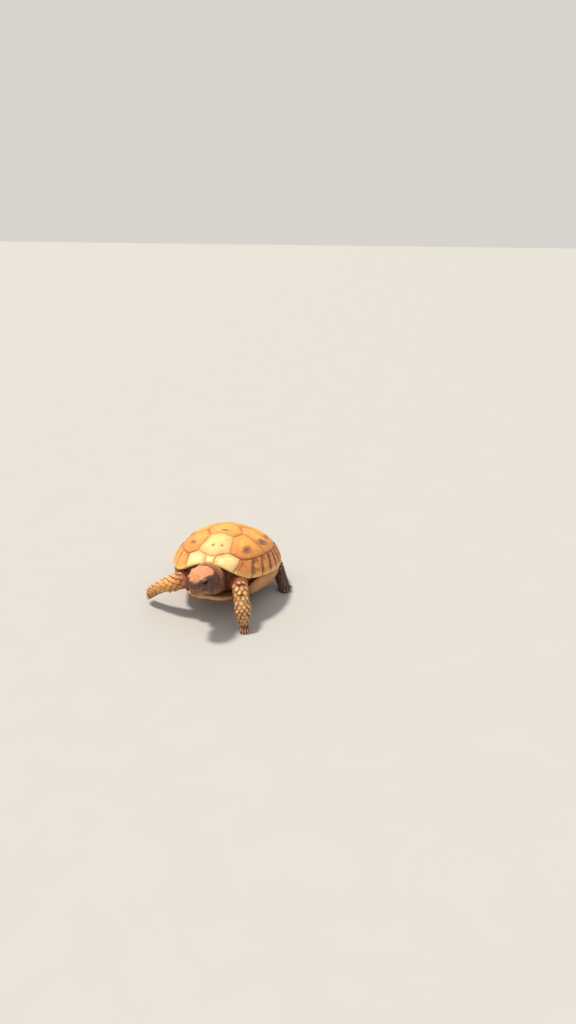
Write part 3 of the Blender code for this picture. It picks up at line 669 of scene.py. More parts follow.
def scute_outlines():
    """Each scute of the upper shell as (name, outline on the disc), and the angles of the points along the rim."""
    rims = list(marginal_angles())
    tops = [angle + lean for angle, lean in zip(rims, MARGINAL_LEAN)]
    corners = tops + [FIRST_VERTEBRAL_ANGLE, LAST_VERTEBRAL_ANGLE, *COSTAL_SEAM_ANGLES]
    angles = ring_angles(corners + [-a for a in corners])
    rim_angles = ring_angles(rims + [-a for a in rims])
    seams = [(half, forward) for forward, half in VERTEBRAL_SEAMS]
    corners = [(half, forward) for forward, half in VERTEBRAL_CORNERS]
    right_seams, right_corners = ([(-left, forward) for left, forward in row] for row in (seams, corners))
    ends = [FIRST_VERTEBRAL_ANGLE, *COSTAL_SEAM_ANGLES, LAST_VERTEBRAL_ANGLE]
    first, last = on_ring(ends[0]), on_ring(ends[-1])

    front = chain([first, seams[0], right_seams[0], on_ring(-ends[0])])
    outlines = [("vertebral_1", arc(angles, -ends[0], ends[0]) + front)]
    for k in range(3):
        around = [right_seams[k], seams[k], corners[k], seams[k + 1], right_seams[k + 1], right_corners[k]]
        outlines.append((f"vertebral_{k + 2}", chain(around + around[:1])))
    rear = arc(angles, ends[-1], FULL_TURN - ends[-1]) + seam((-last[0], last[1]), right_seams[3])
    outlines.append(("vertebral_5", chain([right_seams[3], seams[3], last]) + rear))

    inner = [[first, seams[0], corners[0]]]
    inner += [[corners[k], seams[k + 1], corners[k + 1]] for k in range(2)]
    inner += [[corners[2], seams[3], last]]
    for side, sign in SIDES:
        for k in range(4):
            outline = [(sign * p[0], p[1]) for p in inner[k]]
            outline = chain(outline + ([on_ring(sign * ends[k + 1])] if k < 3 else []))
            outline += arc(angles, sign * ends[k + 1], sign * ends[k])
            if k > 0:
                outline += seam(on_ring(sign * ends[k]), (sign * inner[k][0][0], inner[k][0][1]))
            outlines.append((f"costal_{side}_{k + 1}", outline[::-sign]))

    def marginal(rim_start, rim_end, top_start, top_end):
        return (
            arc(rim_angles, rim_start, rim_end, 1.0)
            + seam(on_ring(rim_end, 1.0), on_ring(top_end))
            + arc(angles, top_end, top_start)
            + seam(on_ring(top_start), on_ring(rim_start, 1.0))
        )

    for k, (rim, next_rim, top, next_top) in enumerate(zip(rims, rims[1:], tops, tops[1:])):
        outlines.append((f"marginal_left_{k + 1}", marginal(rim, next_rim, top, next_top)))
        outlines.append((f"marginal_right_{k + 1}", marginal(-next_rim, -rim, -next_top, -top)))
    outlines.append(("nuchal", marginal(-rims[0], rims[0], -tops[0], tops[0])))
    outlines.append(("supracaudal", marginal(rims[-1], FULL_TURN - rims[-1], tops[-1], FULL_TURN - tops[-1])))
    return outlines, rim_angles


# Share of the way from seam to centre of each ring of points over a large scute and over a small one
LARGE_RINGS = (
    0.014, 0.032, 0.055, 0.08, 0.105, 0.13, 0.155, 0.18, 0.205, 0.23, 0.26, 0.29,
    0.32, 0.35, 0.38, 0.41, 0.44, 0.47, 0.52, 0.60, 0.70, 0.82, 0.94,
)
SMALL_RINGS = (0.035, 0.08, 0.14, 0.2, 0.26, 0.32, 0.38, 0.45, 0.55, 0.68, 0.84)
GROWTH_RIDGES = (0.115, 0.2, 0.28, 0.36)  # shares at which a growth ring stands up
AREOLA_EDGE = 0.44
SEAM_FURROW = 0.26 * MM
SEAM_HALF_WIDTH = 0.3  # millimetres
RIDGE_HEIGHT = 0.075 * MM
AREOLA_STEP = 0.09 * MM
LIP = 0.22 * MM  # how far the rounded rim stands below the solids' rim
RIM_RADIUS = 0.9999  # points further out on the disc lie on the rim
RIM_INSIDE = 0.985  # a disc radius just inside the rim, for the direction in which the dome meets it
FURROW_END = 0.45 * MM  # how soon a furrow runs out at the rim
FAR_FROM_SEAM = 5.0  # millimetres, the inner wall's stand-in for the distance from a seam
WALL_RINGS = (1.0, 0.92, 0.84, 0.75, 0.66, 0.57, 0.48, 0.39, 0.3, 0.2, 0.1)  # of the inner wall, on the disc
PALE_SCUTES = ("vertebral_1", "nuchal", "marginal_left_1", "marginal_right_1")
# Marginals painted as lit: yellower, with fainter marks
LIT_MARGINALS = ("marginal_right_2", "marginal_right_3", "marginal_right_4")  # yellower, with fainter marks


def scute_relief(share, depth, full, furrow):
    """Height over the bare dome, from the share of the way to the centre and the distance from the seam."""
    height = full * np.interp(share, (0.0, 0.16, 0.55, 1.0), (0.0, 0.46, 0.8, 1.0))
    height = height - SEAM_FURROW * furrow * bell(depth, SEAM_HALF_WIDTH)
    for place in GROWTH_RIDGES:
        height = height + RIDGE_HEIGHT * bell(share - place, 0.018)
    return height + AREOLA_STEP * smooth((share - AREOLA_EDGE) / 0.04)


# Dark marks: (left, forward) on the disc, radius in millimetres along the scute and across it, turn in degrees,
# strength, and whether it has a darker core
MARKS = (
    (-0.02, 0.572, 1.15, 0.85, 0, 1.0, False),
    (0.075, 0.545, 1.15, 0.85, 0, 1.0, False),
    (0.01, 0.25, 1.0, 2.3, 0, 0.95, False),
    (0.62, 0.57, 1.0, 1.3, 0, 0.6, False),
    (0.0, -0.13, 1.6, 2.4, 0, 0.75, True),
    (0.0, -0.37, 1.5, 2.2, 0, 0.75, True),
    (0.0, -0.58, 1.5, 2.0, 0, 0.7, True),
    (0.36, 0.42, 3.0, 4.2, 35, 1.0, True),
    (-0.335, 0.41, 1.8, 4.6, -35, 0.75, True),
    (0.51, 0.07, 2.9, 5.6, 70, 1.0, True),
    (-0.5, 0.07, 2.6, 3.4, -80, 0.85, True),
    (0.46, -0.22, 2.3, 3.0, 100, 0.8, True),
    (-0.46, -0.22, 2.3, 3.0, -100, 0.8, True),
    (0.37, -0.46, 1.9, 2.6, 130, 0.75, True),
    (-0.37, -0.46, 1.9, 2.6, -130, 0.75, True),
)


def marginal_place(discs, rim_start, rim_end, top_start, top_end):
    """How far along a marginal each point is, from its front seam to its rear one, and how far up from the rim."""
    angle = np.arctan2(discs[:, 0], discs[:, 1])
    middle = (rim_start + rim_end) / 2
    angle = middle + np.arctan2(np.sin(angle - middle), np.cos(angle - middle))
    up = (1 - np.hypot(*discs.T)) / (1 - marginal_top(angle))
    start = rim_start + (top_start - rim_start) * up
    end = rim_end + (top_end - rim_end) * up
    return np.clip((angle - start) / (end - start), 0, 1), np.clip(up, 0, 1)


def marginal_colours(name, discs, wander, fine):
    """A marginal's colours, and how dark each point is along its front edge and its upper one."""
    if name == "supracaudal":
        along, up = np.abs(discs[:, 0]) * 5.5, (1 - np.hypot(*discs.T)) / 0.31
        strength = 0.65
    else:
        _, side, number = name.split("_")
        k = int(number) - 1
        rims = marginal_angles()
        tops = rims + MARGINAL_LEAN
        along, up = marginal_place(discs * (dict(SIDES)[side], 1), rims[k], rims[k + 1], tops[k], tops[k + 1])
        # Fainter marks on the second marginals, and on those painted as lit
        strength = 0.4 if number == "2" or name in LIT_MARGINALS else 1.0
    lit = name in LIT_MARGINALS
    # The marginals painted as lit take a yellower base and less brown
    rows = mixed(
        "EFAE56" if lit else "E6A054",
        ("BE7036", (0.12 if lit else 0.45) + 0.5 * wander),
        ("F4C87E", smooth((0.42 - up + 0.08 * wander) / 0.3) * 0.85),
    )
    front = smooth((0.3 - along + 0.12 * wander) / 0.24) * smooth((up - 0.1) / 0.3)
    upper = smooth((up - 0.66 + 0.12 * fine) / 0.2) * smooth((0.8 - along) / 0.4)
    return rows, np.clip(front * 0.9 + upper * 0.7, 0, 0.94) * strength * (0.85 + 0.3 * fine)


def marked(rows, places, wander, fine, mark):
    """The colours with one of the dark marks over them."""
    left, forward, tall, wide, turn, strength, core = mark
    centre, normal = dome_frame([(left, forward)])
    ahead = dome_surface(left, forward + 0.01) - centre[0]
    ahead /= np.linalg.norm(ahead)
    across = np.cross(normal[0], ahead)
    first = ahead * math.cos(math.radians(turn)) + across * math.sin(math.radians(turn))
    second = np.cross(normal[0], first)
    offset = (places - centre) / MM
    reach = np.hypot(offset @ first / tall, offset @ second / wide) + 0.28 * wander + 0.18 * fine
    darker = smooth((0.55 - reach) / 0.35) if core else smooth((0.8 - reach) / 0.4)
    stain = smooth((1.0 - reach) / 0.45)
    return mixed(rows, ("9C6248", stain * strength * 0.8), ("5C3A34", darker * strength * 0.75))


def scute_colours(name, discs, places, share, depth, seam_warmth):
    """The colours of one scute's points."""
    kind = name.split("_")[0]
    pale = name in PALE_SCUTES
    wander = rough_noise(places, 2.6 * MM, 11)
    fine = rough_noise(places, 0.9 * MM, 23)
    growth = smooth((AREOLA_EDGE + 0.03 - share + 0.04 * wander) / 0.1) * (0.75 + 0.5 * wander)
    if pale:
        rows = mixed("F3CF8B" if kind == "vertebral" else "FBE3A0", ("F6CC80", growth * 0.3))
    else:
        rows = mixed("ECAE55", ("CF8347", growth * 0.42))
    if kind == "costal":
        rows = mixed(rows, ("C4723A", 0.64 * smooth((np.hypot(*discs.T) - 0.4 + 0.05 * wander) / 0.28)))
    for place in GROWTH_RIDGES:
        ridge, groove = bell(share - place - 0.012, 0.02), bell(share - place + 0.022, 0.012)
        rows = mixed(rows, ("F2C36E", 0.35 * ridge), ("B4683A", 0.28 * groove))
    dark = np.zeros(len(discs))
    if kind in ("marginal", "supracaudal") and not pale:
        rows, dark = marginal_colours(name, discs, wander, fine)
    stained = seam_warmth * np.clip(0.62 + 0.55 * noise(places, 6 * MM, 13), 0.2, 1.0)
    rows = mixed(
        rows,
        ("C0703A", bell(depth, 1.15) * 0.7 * stained),
        ("87452A", bell(depth, 0.36) * 0.78 * stained),
        ("4A2819", dark),
    )
    for mark in MARKS:
        rows = marked(rows, places, wander, fine, mark)
    return rows * (1 + 0.07 * wander + 0.05 * fine)[:, None]


def scute_part(name, outline):
    """One scute as (points, tints, depths from the seam, shares of growth lines), and its number of rings."""
    large = name.startswith(("vertebral", "costal"))
    shares = np.array((0.0, *(LARGE_RINGS if large else SMALL_RINGS)))
    rings, border = len(shares), len(outline)
    centre = outline.mean(axis=0)
    places, _ = dome_frame(outline)
    reach = np.linalg.norm(places - dome_points([centre], 0.0)[0], axis=1)
    full = SCUTE_HEIGHT * min(1.0, reach.min() / SCUTE_FULL_SIZE)
    rim = np.hypot(*outline.T) > RIM_RADIUS
    furrow = np.ones(border)
    if rim.any():
        gaps = np.linalg.norm(places[:, None] - places[None, ~rim], axis=2).min(axis=1)
        furrow = np.where(rim, bell(gaps, FURROW_END), 1.0)
    furrow = np.append(np.tile(furrow, rings), 1.0)
    discs = centre + (outline - centre)[None] * (1 - shares)[:, None, None]
    discs = np.vstack([discs.reshape(-1, 2), centre])
    depth = np.append(reach[None] * shares[:, None] / MM, reach.min() / MM)
    share = np.append(np.repeat(shares, border), 1.0)
    relief = scute_relief(share, depth, full, furrow)
    relief[-1] = full + AREOLA_STEP
    surface, _ = dome_frame(discs)
    grain = rough_noise(surface, 0.55 * MM, 5) * 0.018 * MM + noise(surface, 3.5 * MM, 7) * 0.09 * MM
    points = dome_points(discs, relief + grain * smooth(depth / 0.8))
    lines = smooth((AREOLA_EDGE - share) / 0.05) * smooth(depth / 0.3)
    return (points, scute_colours(name, discs, surface, share, depth, furrow), depth, lines), rings


def inner_wall(rim_angles):
    """The rounded rim and the inner side, ring after ring from rim to middle, in the same form as a scute."""
    discs = np.array([on_ring(a, 1.0) for a in rim_angles])
    places, normal = dome_frame(discs)
    down = dome_surface(*discs.T) - dome_surface(*(discs.T * RIM_INSIDE))
    down /= np.linalg.norm(down, axis=1)[:, None]
    loops = [places]
    for turn in (0.25, 0.5, 0.75):
        loops.append(places - normal * SHELL_WALL * turn + down * LIP * math.sin(math.pi * turn))
    loops += [dome_points(discs * radius, -SHELL_WALL) for radius in WALL_RINGS]
    wall = np.vstack(loops + [dome_points([(0.0, 0.0)], -SHELL_WALL)])
    ring = np.arange(len(wall)) // len(discs)
    under = mixed("E6BC7C", ("B98A5A", smooth((ring - 3) / 4.0)))
    tints = under * (1 + 0.1 * rough_noise(wall, 2 * MM, 31))[:, None]
    return (wall, tints, np.full(len(wall), FAR_FROM_SEAM), np.zeros(len(wall))), len(loops)


def upper_shell():
    """The carapace: every scute with its furrow, growth rings and areola, the rounded rim and the inner wall."""
    outlines, rim_angles = scute_outlines()
    found = [(*scute_part(name, np.array(outline)), len(outline), True) for name, outline in outlines]
    found.append((*inner_wall(rim_angles), len(rim_angles), False))
    faces, count = [], 0
    for part, rings, border, flip in found:
        faces += grid_faces(rings, border, count, closed=True, flip=flip)
        fan(faces, count + (rings - 1) * border, border, count + len(part[0]) - 1, flip)
        count += len(part[0])
    points, tints, depths, lines = (np.concatenate(rows) for rows in zip(*(part for part, *_ in found)))
    piece = new_object("upper_shell", points, faces)
    put_tint(piece.data, tints)
    put_value(piece.data, "Depth", depths)
    put_value(piece.data, "Rings", lines)
    mend(piece, WELD)
    piece.data.transform(SHELL)
    return piece


# ---------------------------------------------------------------- the plastron


def bridge_share(forward):
    behind, ahead = (BRIDGE_FRONT - forward) / BRIDGE_TURN, (forward - BRIDGE_REAR) / BRIDGE_TURN
    return smooth(behind + 0.5) * smooth(ahead + 0.5)


def plastron_half_width(forward):
    middle = (PLASTRON_FRONT + PLASTRON_REAR) / 2
    half = (PLASTRON_FRONT - PLASTRON_REAR) / 2
    along = np.abs((forward - middle) / half)
    plate = PLASTRON_HALF_WIDTH * (1 - (1 - PLASTRON_END_SHARE) * along**3.2)
    angles = np.linspace(np.pi, 0, 181)
    reach = rim_reach(angles)
    rim = np.interp(forward, reach * np.cos(angles), reach * np.sin(angles)) - BRIDGE_RIM_INSET
    return plate + (rim - plate) * bridge_share(forward)


def plastron_section(forward, across):
    """The plate's under and upper side at one station, as rows of (x, z). across is a share of the half width."""
    width = plastron_half_width(forward)
    climb = np.clip((np.abs(across) - PLASTRON_FLAT_SHARE) / (1 - PLASTRON_FLAT_SHARE), 0, 1)
    rise = PLASTRON_EDGE_RISE + (PLASTRON_DEPTH - 2 * GAP - PLASTRON_EDGE_RISE) * bridge_share(forward)
    tail = np.clip((forward - BRIDGE_REAR) / (PLASTRON_REAR - BRIDGE_REAR), 0, 1)
    x = across * width
    z = -PLASTRON_DEPTH + PLASTRON_TAIL_RISE * tail**1.5 + rise * (1 - np.sqrt(1 - climb**2))
    inner_x = x - np.sign(across) * PLASTRON_WALL * climb
    inner_z = z + PLASTRON_WALL * (1 - climb) + GAP * climb
    return np.stack([x, z], axis=1), np.stack([inner_x, inner_z], axis=1)


# Seams of the lower shell on its left half, as (share of the half width, forward in millimetres)
PLASTRON_SEAMS = (
    ((0.0, 30.0), (0.012, 12.0), (-0.008, -2.0), (0.01, -16.0), (0.0, -30.0)),
    ((0.0, 23.2), (0.3, 24.6), (0.75, 29.5)),
    ((0.0, 14.6), (0.35, 13.6), (0.75, 16.5), (1.05, 19.0)),
    ((0.0, 10.4), (0.3, 10.2), (0.55, 8.2), (0.8, 8.6), (1.05, 9.5)),
    ((0.0, -11.0), (0.4, -11.3), (0.7, -9.0), (1.05, -7.0)),
    ((0.0, -19.8), (0.35, -19.0), (0.8, -22.4), (1.1, -23.6)),
    ((0.8, 17.5), (0.8, 8.6), (0.79, 0.0), (0.79, -10.5)),
)
PLASTRON_BLOTCHES = ((0.3, 19.5, 3.0), (0.42, 12.0, 2.2), (0.42, -1.5, 5.6), (0.4, -15.5, 3.4), (0.33, -23.5, 2.4))
ANAL_NOTCH = 2.4 * MM
ANAL_NOTCH_HALF_WIDTH = 3.2 * MM
ANAL_NOTCH_REACH = 9 * MM  # how far from the rear edge the plate starts to turn in
PLASTRON_STATIONS = 151
PLASTRON_COLUMNS = 111  # points across each side of the plate


def plastron_plate():
    """The plate's plain mesh, its points, and each point's share of the half width, place forward in millimetres,
    and side: 1 for the outside and 0 for the inside."""
    middle = (PLASTRON_FRONT + PLASTRON_REAR) / 2
    half = (PLASTRON_FRONT - PLASTRON_REAR) / 2
    turns = np.linspace(0, 1, PLASTRON_STATIONS)
    stations = middle + half * np.cos(np.pi * turns)
    stations = 0.35 * stations + 0.65 * (PLASTRON_FRONT + (PLASTRON_REAR - PLASTRON_FRONT) * turns)
    across = np.sin(np.linspace(-np.pi / 2, np.pi / 2, PLASTRON_COLUMNS))
    across = 0.5 * across + 0.5 * np.linspace(-1, 1, PLASTRON_COLUMNS)
    count = len(across)
    shares = np.concatenate([across, across[::-1]])
    sides = np.repeat((1.0, 0.0), count)
    rings, uses = [], []
    for forward in stations:
        low, high = plastron_section(forward, across)
        ring = np.vstack([low, high[::-1]])
        near_rear = smooth((PLASTRON_REAR + ANAL_NOTCH_REACH - forward) / ANAL_NOTCH_REACH)
        notch = near_rear * bell(ring[:, 0], ANAL_NOTCH_HALF_WIDTH)
        rings.append(np.stack([ring[:, 0], -forward - ANAL_NOTCH * notch, ring[:, 1]], axis=1))
        uses.append(np.stack([shares, np.full(2 * count, forward / MM), sides], axis=1))
    faces = grid_faces(len(rings), 2 * count, closed=True)
    for row in (0, len(rings) - 1):
        start = row * 2 * count
        for i in range(count - 1):
            face = (start + i, start + i + 1, start + 2 * count - 2 - i, start + 2 * count - 1 - i)
            faces.append(face if row else face[::-1])
    points = np.vstack(rings)
    piece = new_object("lower_shell", points, faces)
    mend(piece)
    return piece, points, np.vstack(uses).T


def plastron_spots(shares, forward):
    """Places on the plate, as (left, forward) rows in millimetres, from shares of its half width."""
    forward = np.asarray(forward, float)
    return np.stack([shares * plastron_half_width(forward * MM) / MM, forward], axis=-1)


def lower_shell():
    """The plastron: a flat plate of six pairs of scutes, with furrowed seams, turned up into the bridges."""
    piece, points, (share, forward, outer) = plastron_plate()
    spots = plastron_spots(np.abs(share), forward)
    nearest = np.full(len(points), 99.0)
    for line in PLASTRON_SEAMS:
        line = through(plastron_spots(*np.transpose(line)), 6)
        nearest = np.minimum(nearest, curve_distance(spots, line)[0])
    wander = rough_noise(points, 2.6 * MM, 41)
    fine = rough_noise(points, 0.9 * MM, 43)
    inland = smooth((1 - np.abs(share)) / 0.06) * smooth((PLASTRON_FRONT / MM - forward) / 1.2)
    relief = -0.3 * inland * bell(nearest, 0.24) + 0.2 * smooth(nearest / 2.5) + 0.03 * fine
    relief += sum(0.045 * bell(nearest - place, 0.12) for place in (0.9, 1.5, 2.2))
    up = mesh_normals(piece.data)[:, 2]
    put_points(piece.data, points + mesh_normals(piece.data) * (outer * relief * MM)[:, None])

    # Near the front edge: painted shade on all but the underside, and the upper side painted lighter to lift the
    # shade that lies there
    front_edge = smooth((forward - PLASTRON_FRONT / MM + 3.4) / 2.4)
    rows = mixed(
        "D9AC6C",
        ("B97E48", 0.45 + 0.5 * wander),
        # Over the bridges a darker orange-brown: partly their own colour, partly painted shade
        ("B06E3E", 0.5 * smooth((np.abs(share) - 0.72) / 0.25) * bridge_share(forward * MM)),
        # painted shade on the front edge
        ("94644A", 0.75 * front_edge * smooth((up + 0.75) / 0.4)),
        # painted light on the front edge's upper side
        ("E0B084", front_edge * smooth((up - 0.1) / 0.5)),
    )
    for part, place, size in PLASTRON_BLOTCHES:
        centre = plastron_spots(part, place)
        reach = np.linalg.norm((spots - centre) / (size * 0.85, size), axis=1) + 0.3 * wander + 0.15 * fine
        rows = mixed(rows, ("4E3228", outer * 0.72 * smooth((1.05 - reach) / 0.5)))
    rows = mixed(rows, ("9A6238", outer * 0.7 * bell(nearest, 0.5)), ("5E3A24", outer * 0.7 * bell(nearest, 0.2)))
    put_tint(piece.data, rows * (1 + 0.06 * wander + 0.04 * fine)[:, None])
    put_value(piece.data, "Depth", nearest)
    put_value(piece.data, "Rings", outer * smooth((3.2 - nearest) / 0.8))
    piece.data.transform(SHELL)
    return piece


# ---------------------------------------------------------------- the skin

SKIN_VOXEL = 0.37 * MM
INSIDE_REACH = 0.66  # share of the shell's plan within which the skin is never seen
SKIN_KEPT = 0.77  # share of the skin's faces kept, the rest being merged inside the shell
SKIN_OVERLAP = 0.2 * MM  # how far the flesh solids grow to meet, before they are made one
SKIN_NODES = ("trunk", "neck", "tail", *LEGS)
HEAD_SIDES = 64
HEAD_JOIN = 2.6  # millimetres of the neck's path that lie inside the head
HEAD_PEBBLE = 0.95  # size of the small scales on the head's sides, in millimetres
SKIN_PEBBLE = 0.75 * MM
SOLE_LEVEL = 0.35 * MM  # skin below this that faces down is a sole, and lies flat on the floor
LIMB_STEPS = 12  # places on a limb's path between two joints


def head_source():
    """The head's plain form as rings of points in its own frame, denser than the solid's."""
    rows = through(HEAD_STATIONS, 4) * MM
    angles = np.linspace(0, FULL_TURN, HEAD_SIDES, endpoint=False)
    cos, sin = np.cos(angles), np.sin(angles)
    rings = []
    for along, half_width, top, bottom in rows:
        middle, half_height = (top + bottom) / 2, (top - bottom) / 2
        x = half_width * np.sign(cos) * np.abs(cos) ** (2 / HEAD_SQUARENESS)
        z = middle + half_height * np.sign(sin) * np.abs(sin) ** (2 / HEAD_SQUARENESS)
        rings.append(np.stack([x, np.full(HEAD_SIDES, -along), z], axis=1))
    points = np.vstack(rings + [rings[0].mean(axis=0), rings[-1].mean(axis=0)])
    faces = grid_faces(len(rings), HEAD_SIDES, closed=True, flip=True)
    fan(faces, 0, HEAD_SIDES, len(points) - 2)
    fan(faces, (len(rings) - 1) * HEAD_SIDES, HEAD_SIDES, len(points) - 1, True)
    return moved(points, HEAD), faces


def joined_flesh():
    """All the flesh as one closed mesh: the solids, grown until they meet, and the head, made one by voxels."""
    points, faces = head_source()
    all_points, count = [points], len(points)
    for name in SKIN_NODES:
        welded = bmesh.new()
        welded.from_mesh(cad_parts[name].data)
        bmesh.ops.remove_doubles(welded, verts=welded.verts, dist=1e-6)
        welded.normal_update()
        all_points.append(np.array([v.co + v.normal * SKIN_OVERLAP for v in welded.verts]))
        faces += [tuple(v.index + count for v in face.verts) for face in welded.faces]
        count += len(all_points[-1])
        welded.free()
    piece = new_object("skin", np.vstack(all_points), faces)
    remesh = piece.modifiers.new("one", "REMESH")
    remesh.mode = "VOXEL"
    remesh.voxel_size = SKIN_VOXEL
    ease = piece.modifiers.new("ease", "SMOOTH")
    ease.factor = 0.5
    ease.iterations = 8
    apply_modifiers(piece)
    thin_inside(piece)
    return piece


def thin_inside(piece):
    """Fewer and larger faces on the trunk deep inside the shell, where none is seen."""
    places = in_frame(mesh_points(piece.data), SHELL)
    reach = np.hypot(places[:, 1] * MM / SHELL_HALF_WIDTH, places[:, 0] * MM / SHELL_HALF_LENGTH)
    group = piece.vertex_groups.new(name="inside")
    group.add(np.flatnonzero(reach < INSIDE_REACH).tolist(), 1.0, "REPLACE")
    thin = piece.modifiers.new("thin", "DECIMATE")
    thin.ratio = SKIN_KEPT
    thin.vertex_group = group.name
    apply_modifiers(piece)


def apply_modifiers(piece):
    bpy.context.view_layer.update()
    graph = bpy.context.evaluated_depsgraph_get()
    mesh = bpy.data.meshes.new_from_object(piece.evaluated_get(graph))
    piece.modifiers.clear()
    piece.data = mesh


def refine_head(piece):
    """Splits the head's faces once, so that its small forms have points enough."""
    bm = bmesh.new()
    bm.from_mesh(piece.data)
    places = in_frame(np.array([v.co for v in bm.verts]), HEAD)
    near = (places[:, 0] > 0.2) & (np.abs(places[:, 1]) < 8) & (np.abs(places[:, 2]) < 8)
    edges = [e for e in bm.edges if near[e.verts[0].index] and near[e.verts[1].index]]
    bmesh.ops.subdivide_edges(bm, edges=edges, cuts=1, use_grid_fill=True, smooth=0.0)
    bmesh.ops.triangulate(bm, faces=[f for f in bm.faces if len(f.verts) > 4])
    bm.to_mesh(piece.data)
    bm.free()
    piece.data.update()


# Places on the head, in its own frame in millimetres
BROW = ((12.0, 2.0, 2.5), (10.9, 3.05, 3.7), (9.6, 3.9, 4.5), (8.0, 4.55, 4.9), (6.2, 4.95, 4.7), (4.6, 5.3, 4.0))
# Places forward along the head, and the mouth's height at each
MOUTH_LINE = ((4.6, 5.6, 7.0, 9.0, 11.0, 12.4, 13.2), (-5.0, -4.5, -3.8, -2.9, -2.15, -1.85, -2.3))
NOSTRIL = (12.85, 0.85, 1.15)
EYE_FRONT = (8.9, 4.7, 2.3)
EAR = (3.3, 5.5, -0.4)
CROWN_PLATES = (
    (12.2, 0.0), (11.2, 1.2), (11.2, -1.2), (9.1, 0.0), (9.0, 2.1), (9.0, -2.1), (7.2, 1.1), (7.2, -1.1),
    (7.4, 3.2), (7.4, -3.2), (5.4, 0.0), (5.4, 2.2), (5.4, -2.2), (3.8, 1.2), (3.8, -1.2), (3.6, 3.4), (3.6, -3.4),
)
CHEEKS = ((0.3, (5.2, -2.4), 2.0), (0.55, (5.6, -4.8), 1.9))  # (height, (forward, up), width) of two bulges


def mouth_height(along):
    """Height of the mouth's line along the head: a little hooked at the tip, and low at the corner."""
    return np.interp(along, *MOUTH_LINE)


def plate_seams(spots):
    """Distance to the nearest border between two of the crown's plates, in millimetres."""
    distances = np.linalg.norm(spots[:, None] - np.array(CROWN_PLATES)[None], axis=2)
    first, second = np.sort(distances, axis=1)[:, :2].T
    return (second - first) / 2


def head_masks(spots, normals):
    """Named shares over the head, from each point's place and normal in the head's own frame."""
    along, left, up = spots.T
    side = np.abs(left)
    folded = np.stack([along, side, up], axis=1)
    brow, _ = curve_distance(folded, BROW)
    brow_up = np.interp(along, [p[0] for p in BROW[::-1]], [p[2] for p in BROW[::-1]])
    mouth = up - mouth_height(along)
    ahead = smooth((along - 4.9) / 0.8)
    return {
        "brow": bell(brow, 0.8),
        "below_brow": smooth((brow_up - 0.3 - up) / 0.9),
        "eye": np.linalg.norm(folded - np.array(EYE_FRONT), axis=1),
        "mouth": bell(mouth, 0.26) * ahead,
        "jaw": smooth(-mouth / 0.35) * ahead,
        "upper_lip": bell(mouth - 0.45, 0.4) * smooth((along - 6.5) / 2.0),
        "beak": smooth((along - 10.4 + 0.3 * up) / 1.4) * smooth((0.9 - up) / 0.8) * (mouth > 0),
        "nostril": np.linalg.norm(folded - np.array(NOSTRIL), axis=1),
        "ear": np.linalg.norm(folded - np.array(EAR), axis=1),
        "top": smooth((normals[:, 2] - 0.35) / 0.35),
        "throat": smooth((-4.4 - up) / 0.8) * smooth(-(normals[:, 2] + 0.4) / 0.4),
    }


def head_relief(spots, masks):
    """How far the skin stands off the head's plain form, in millimetres."""
    along, _, up = spots.T
    beside = 1 - masks["top"]
    relief = 0.62 * masks["brow"] + 0.16 * bell(masks["eye"] - 1.9, 0.7)
    relief += -0.45 * masks["mouth"] - 0.25 * masks["jaw"] + 0.16 * masks["upper_lip"]
    relief += -0.5 * bell(masks["nostril"], 0.3) + 0.1 * bell(masks["nostril"] - 0.55, 0.22)
    relief += -0.28 * smooth((1.45 - masks["ear"]) / 0.35) + 0.12 * bell(masks["ear"] - 1.75, 0.35)
    for height, place, width in CHEEKS:
        relief += height * bell(np.hypot(along - place[0], up - place[1]), width) * beside
    horn = np.maximum(masks["beak"], masks["jaw"] * smooth((along - 8.5) / 1.5))
    relief += -0.06 * masks["top"] * bell(plate_seams(spots[:, :2]), 0.15)
    nearest, second, _ = pebbles(spots, HEAD_PEBBLE, 61)
    small = beside * (1 - horn) * smooth((masks["eye"] - 1.9) / 0.5)
    relief += small * (0.1 * smooth((second - nearest) / 0.25) - 0.07)
    return relief + 0.05 * noise(spots, 1.7, 63)


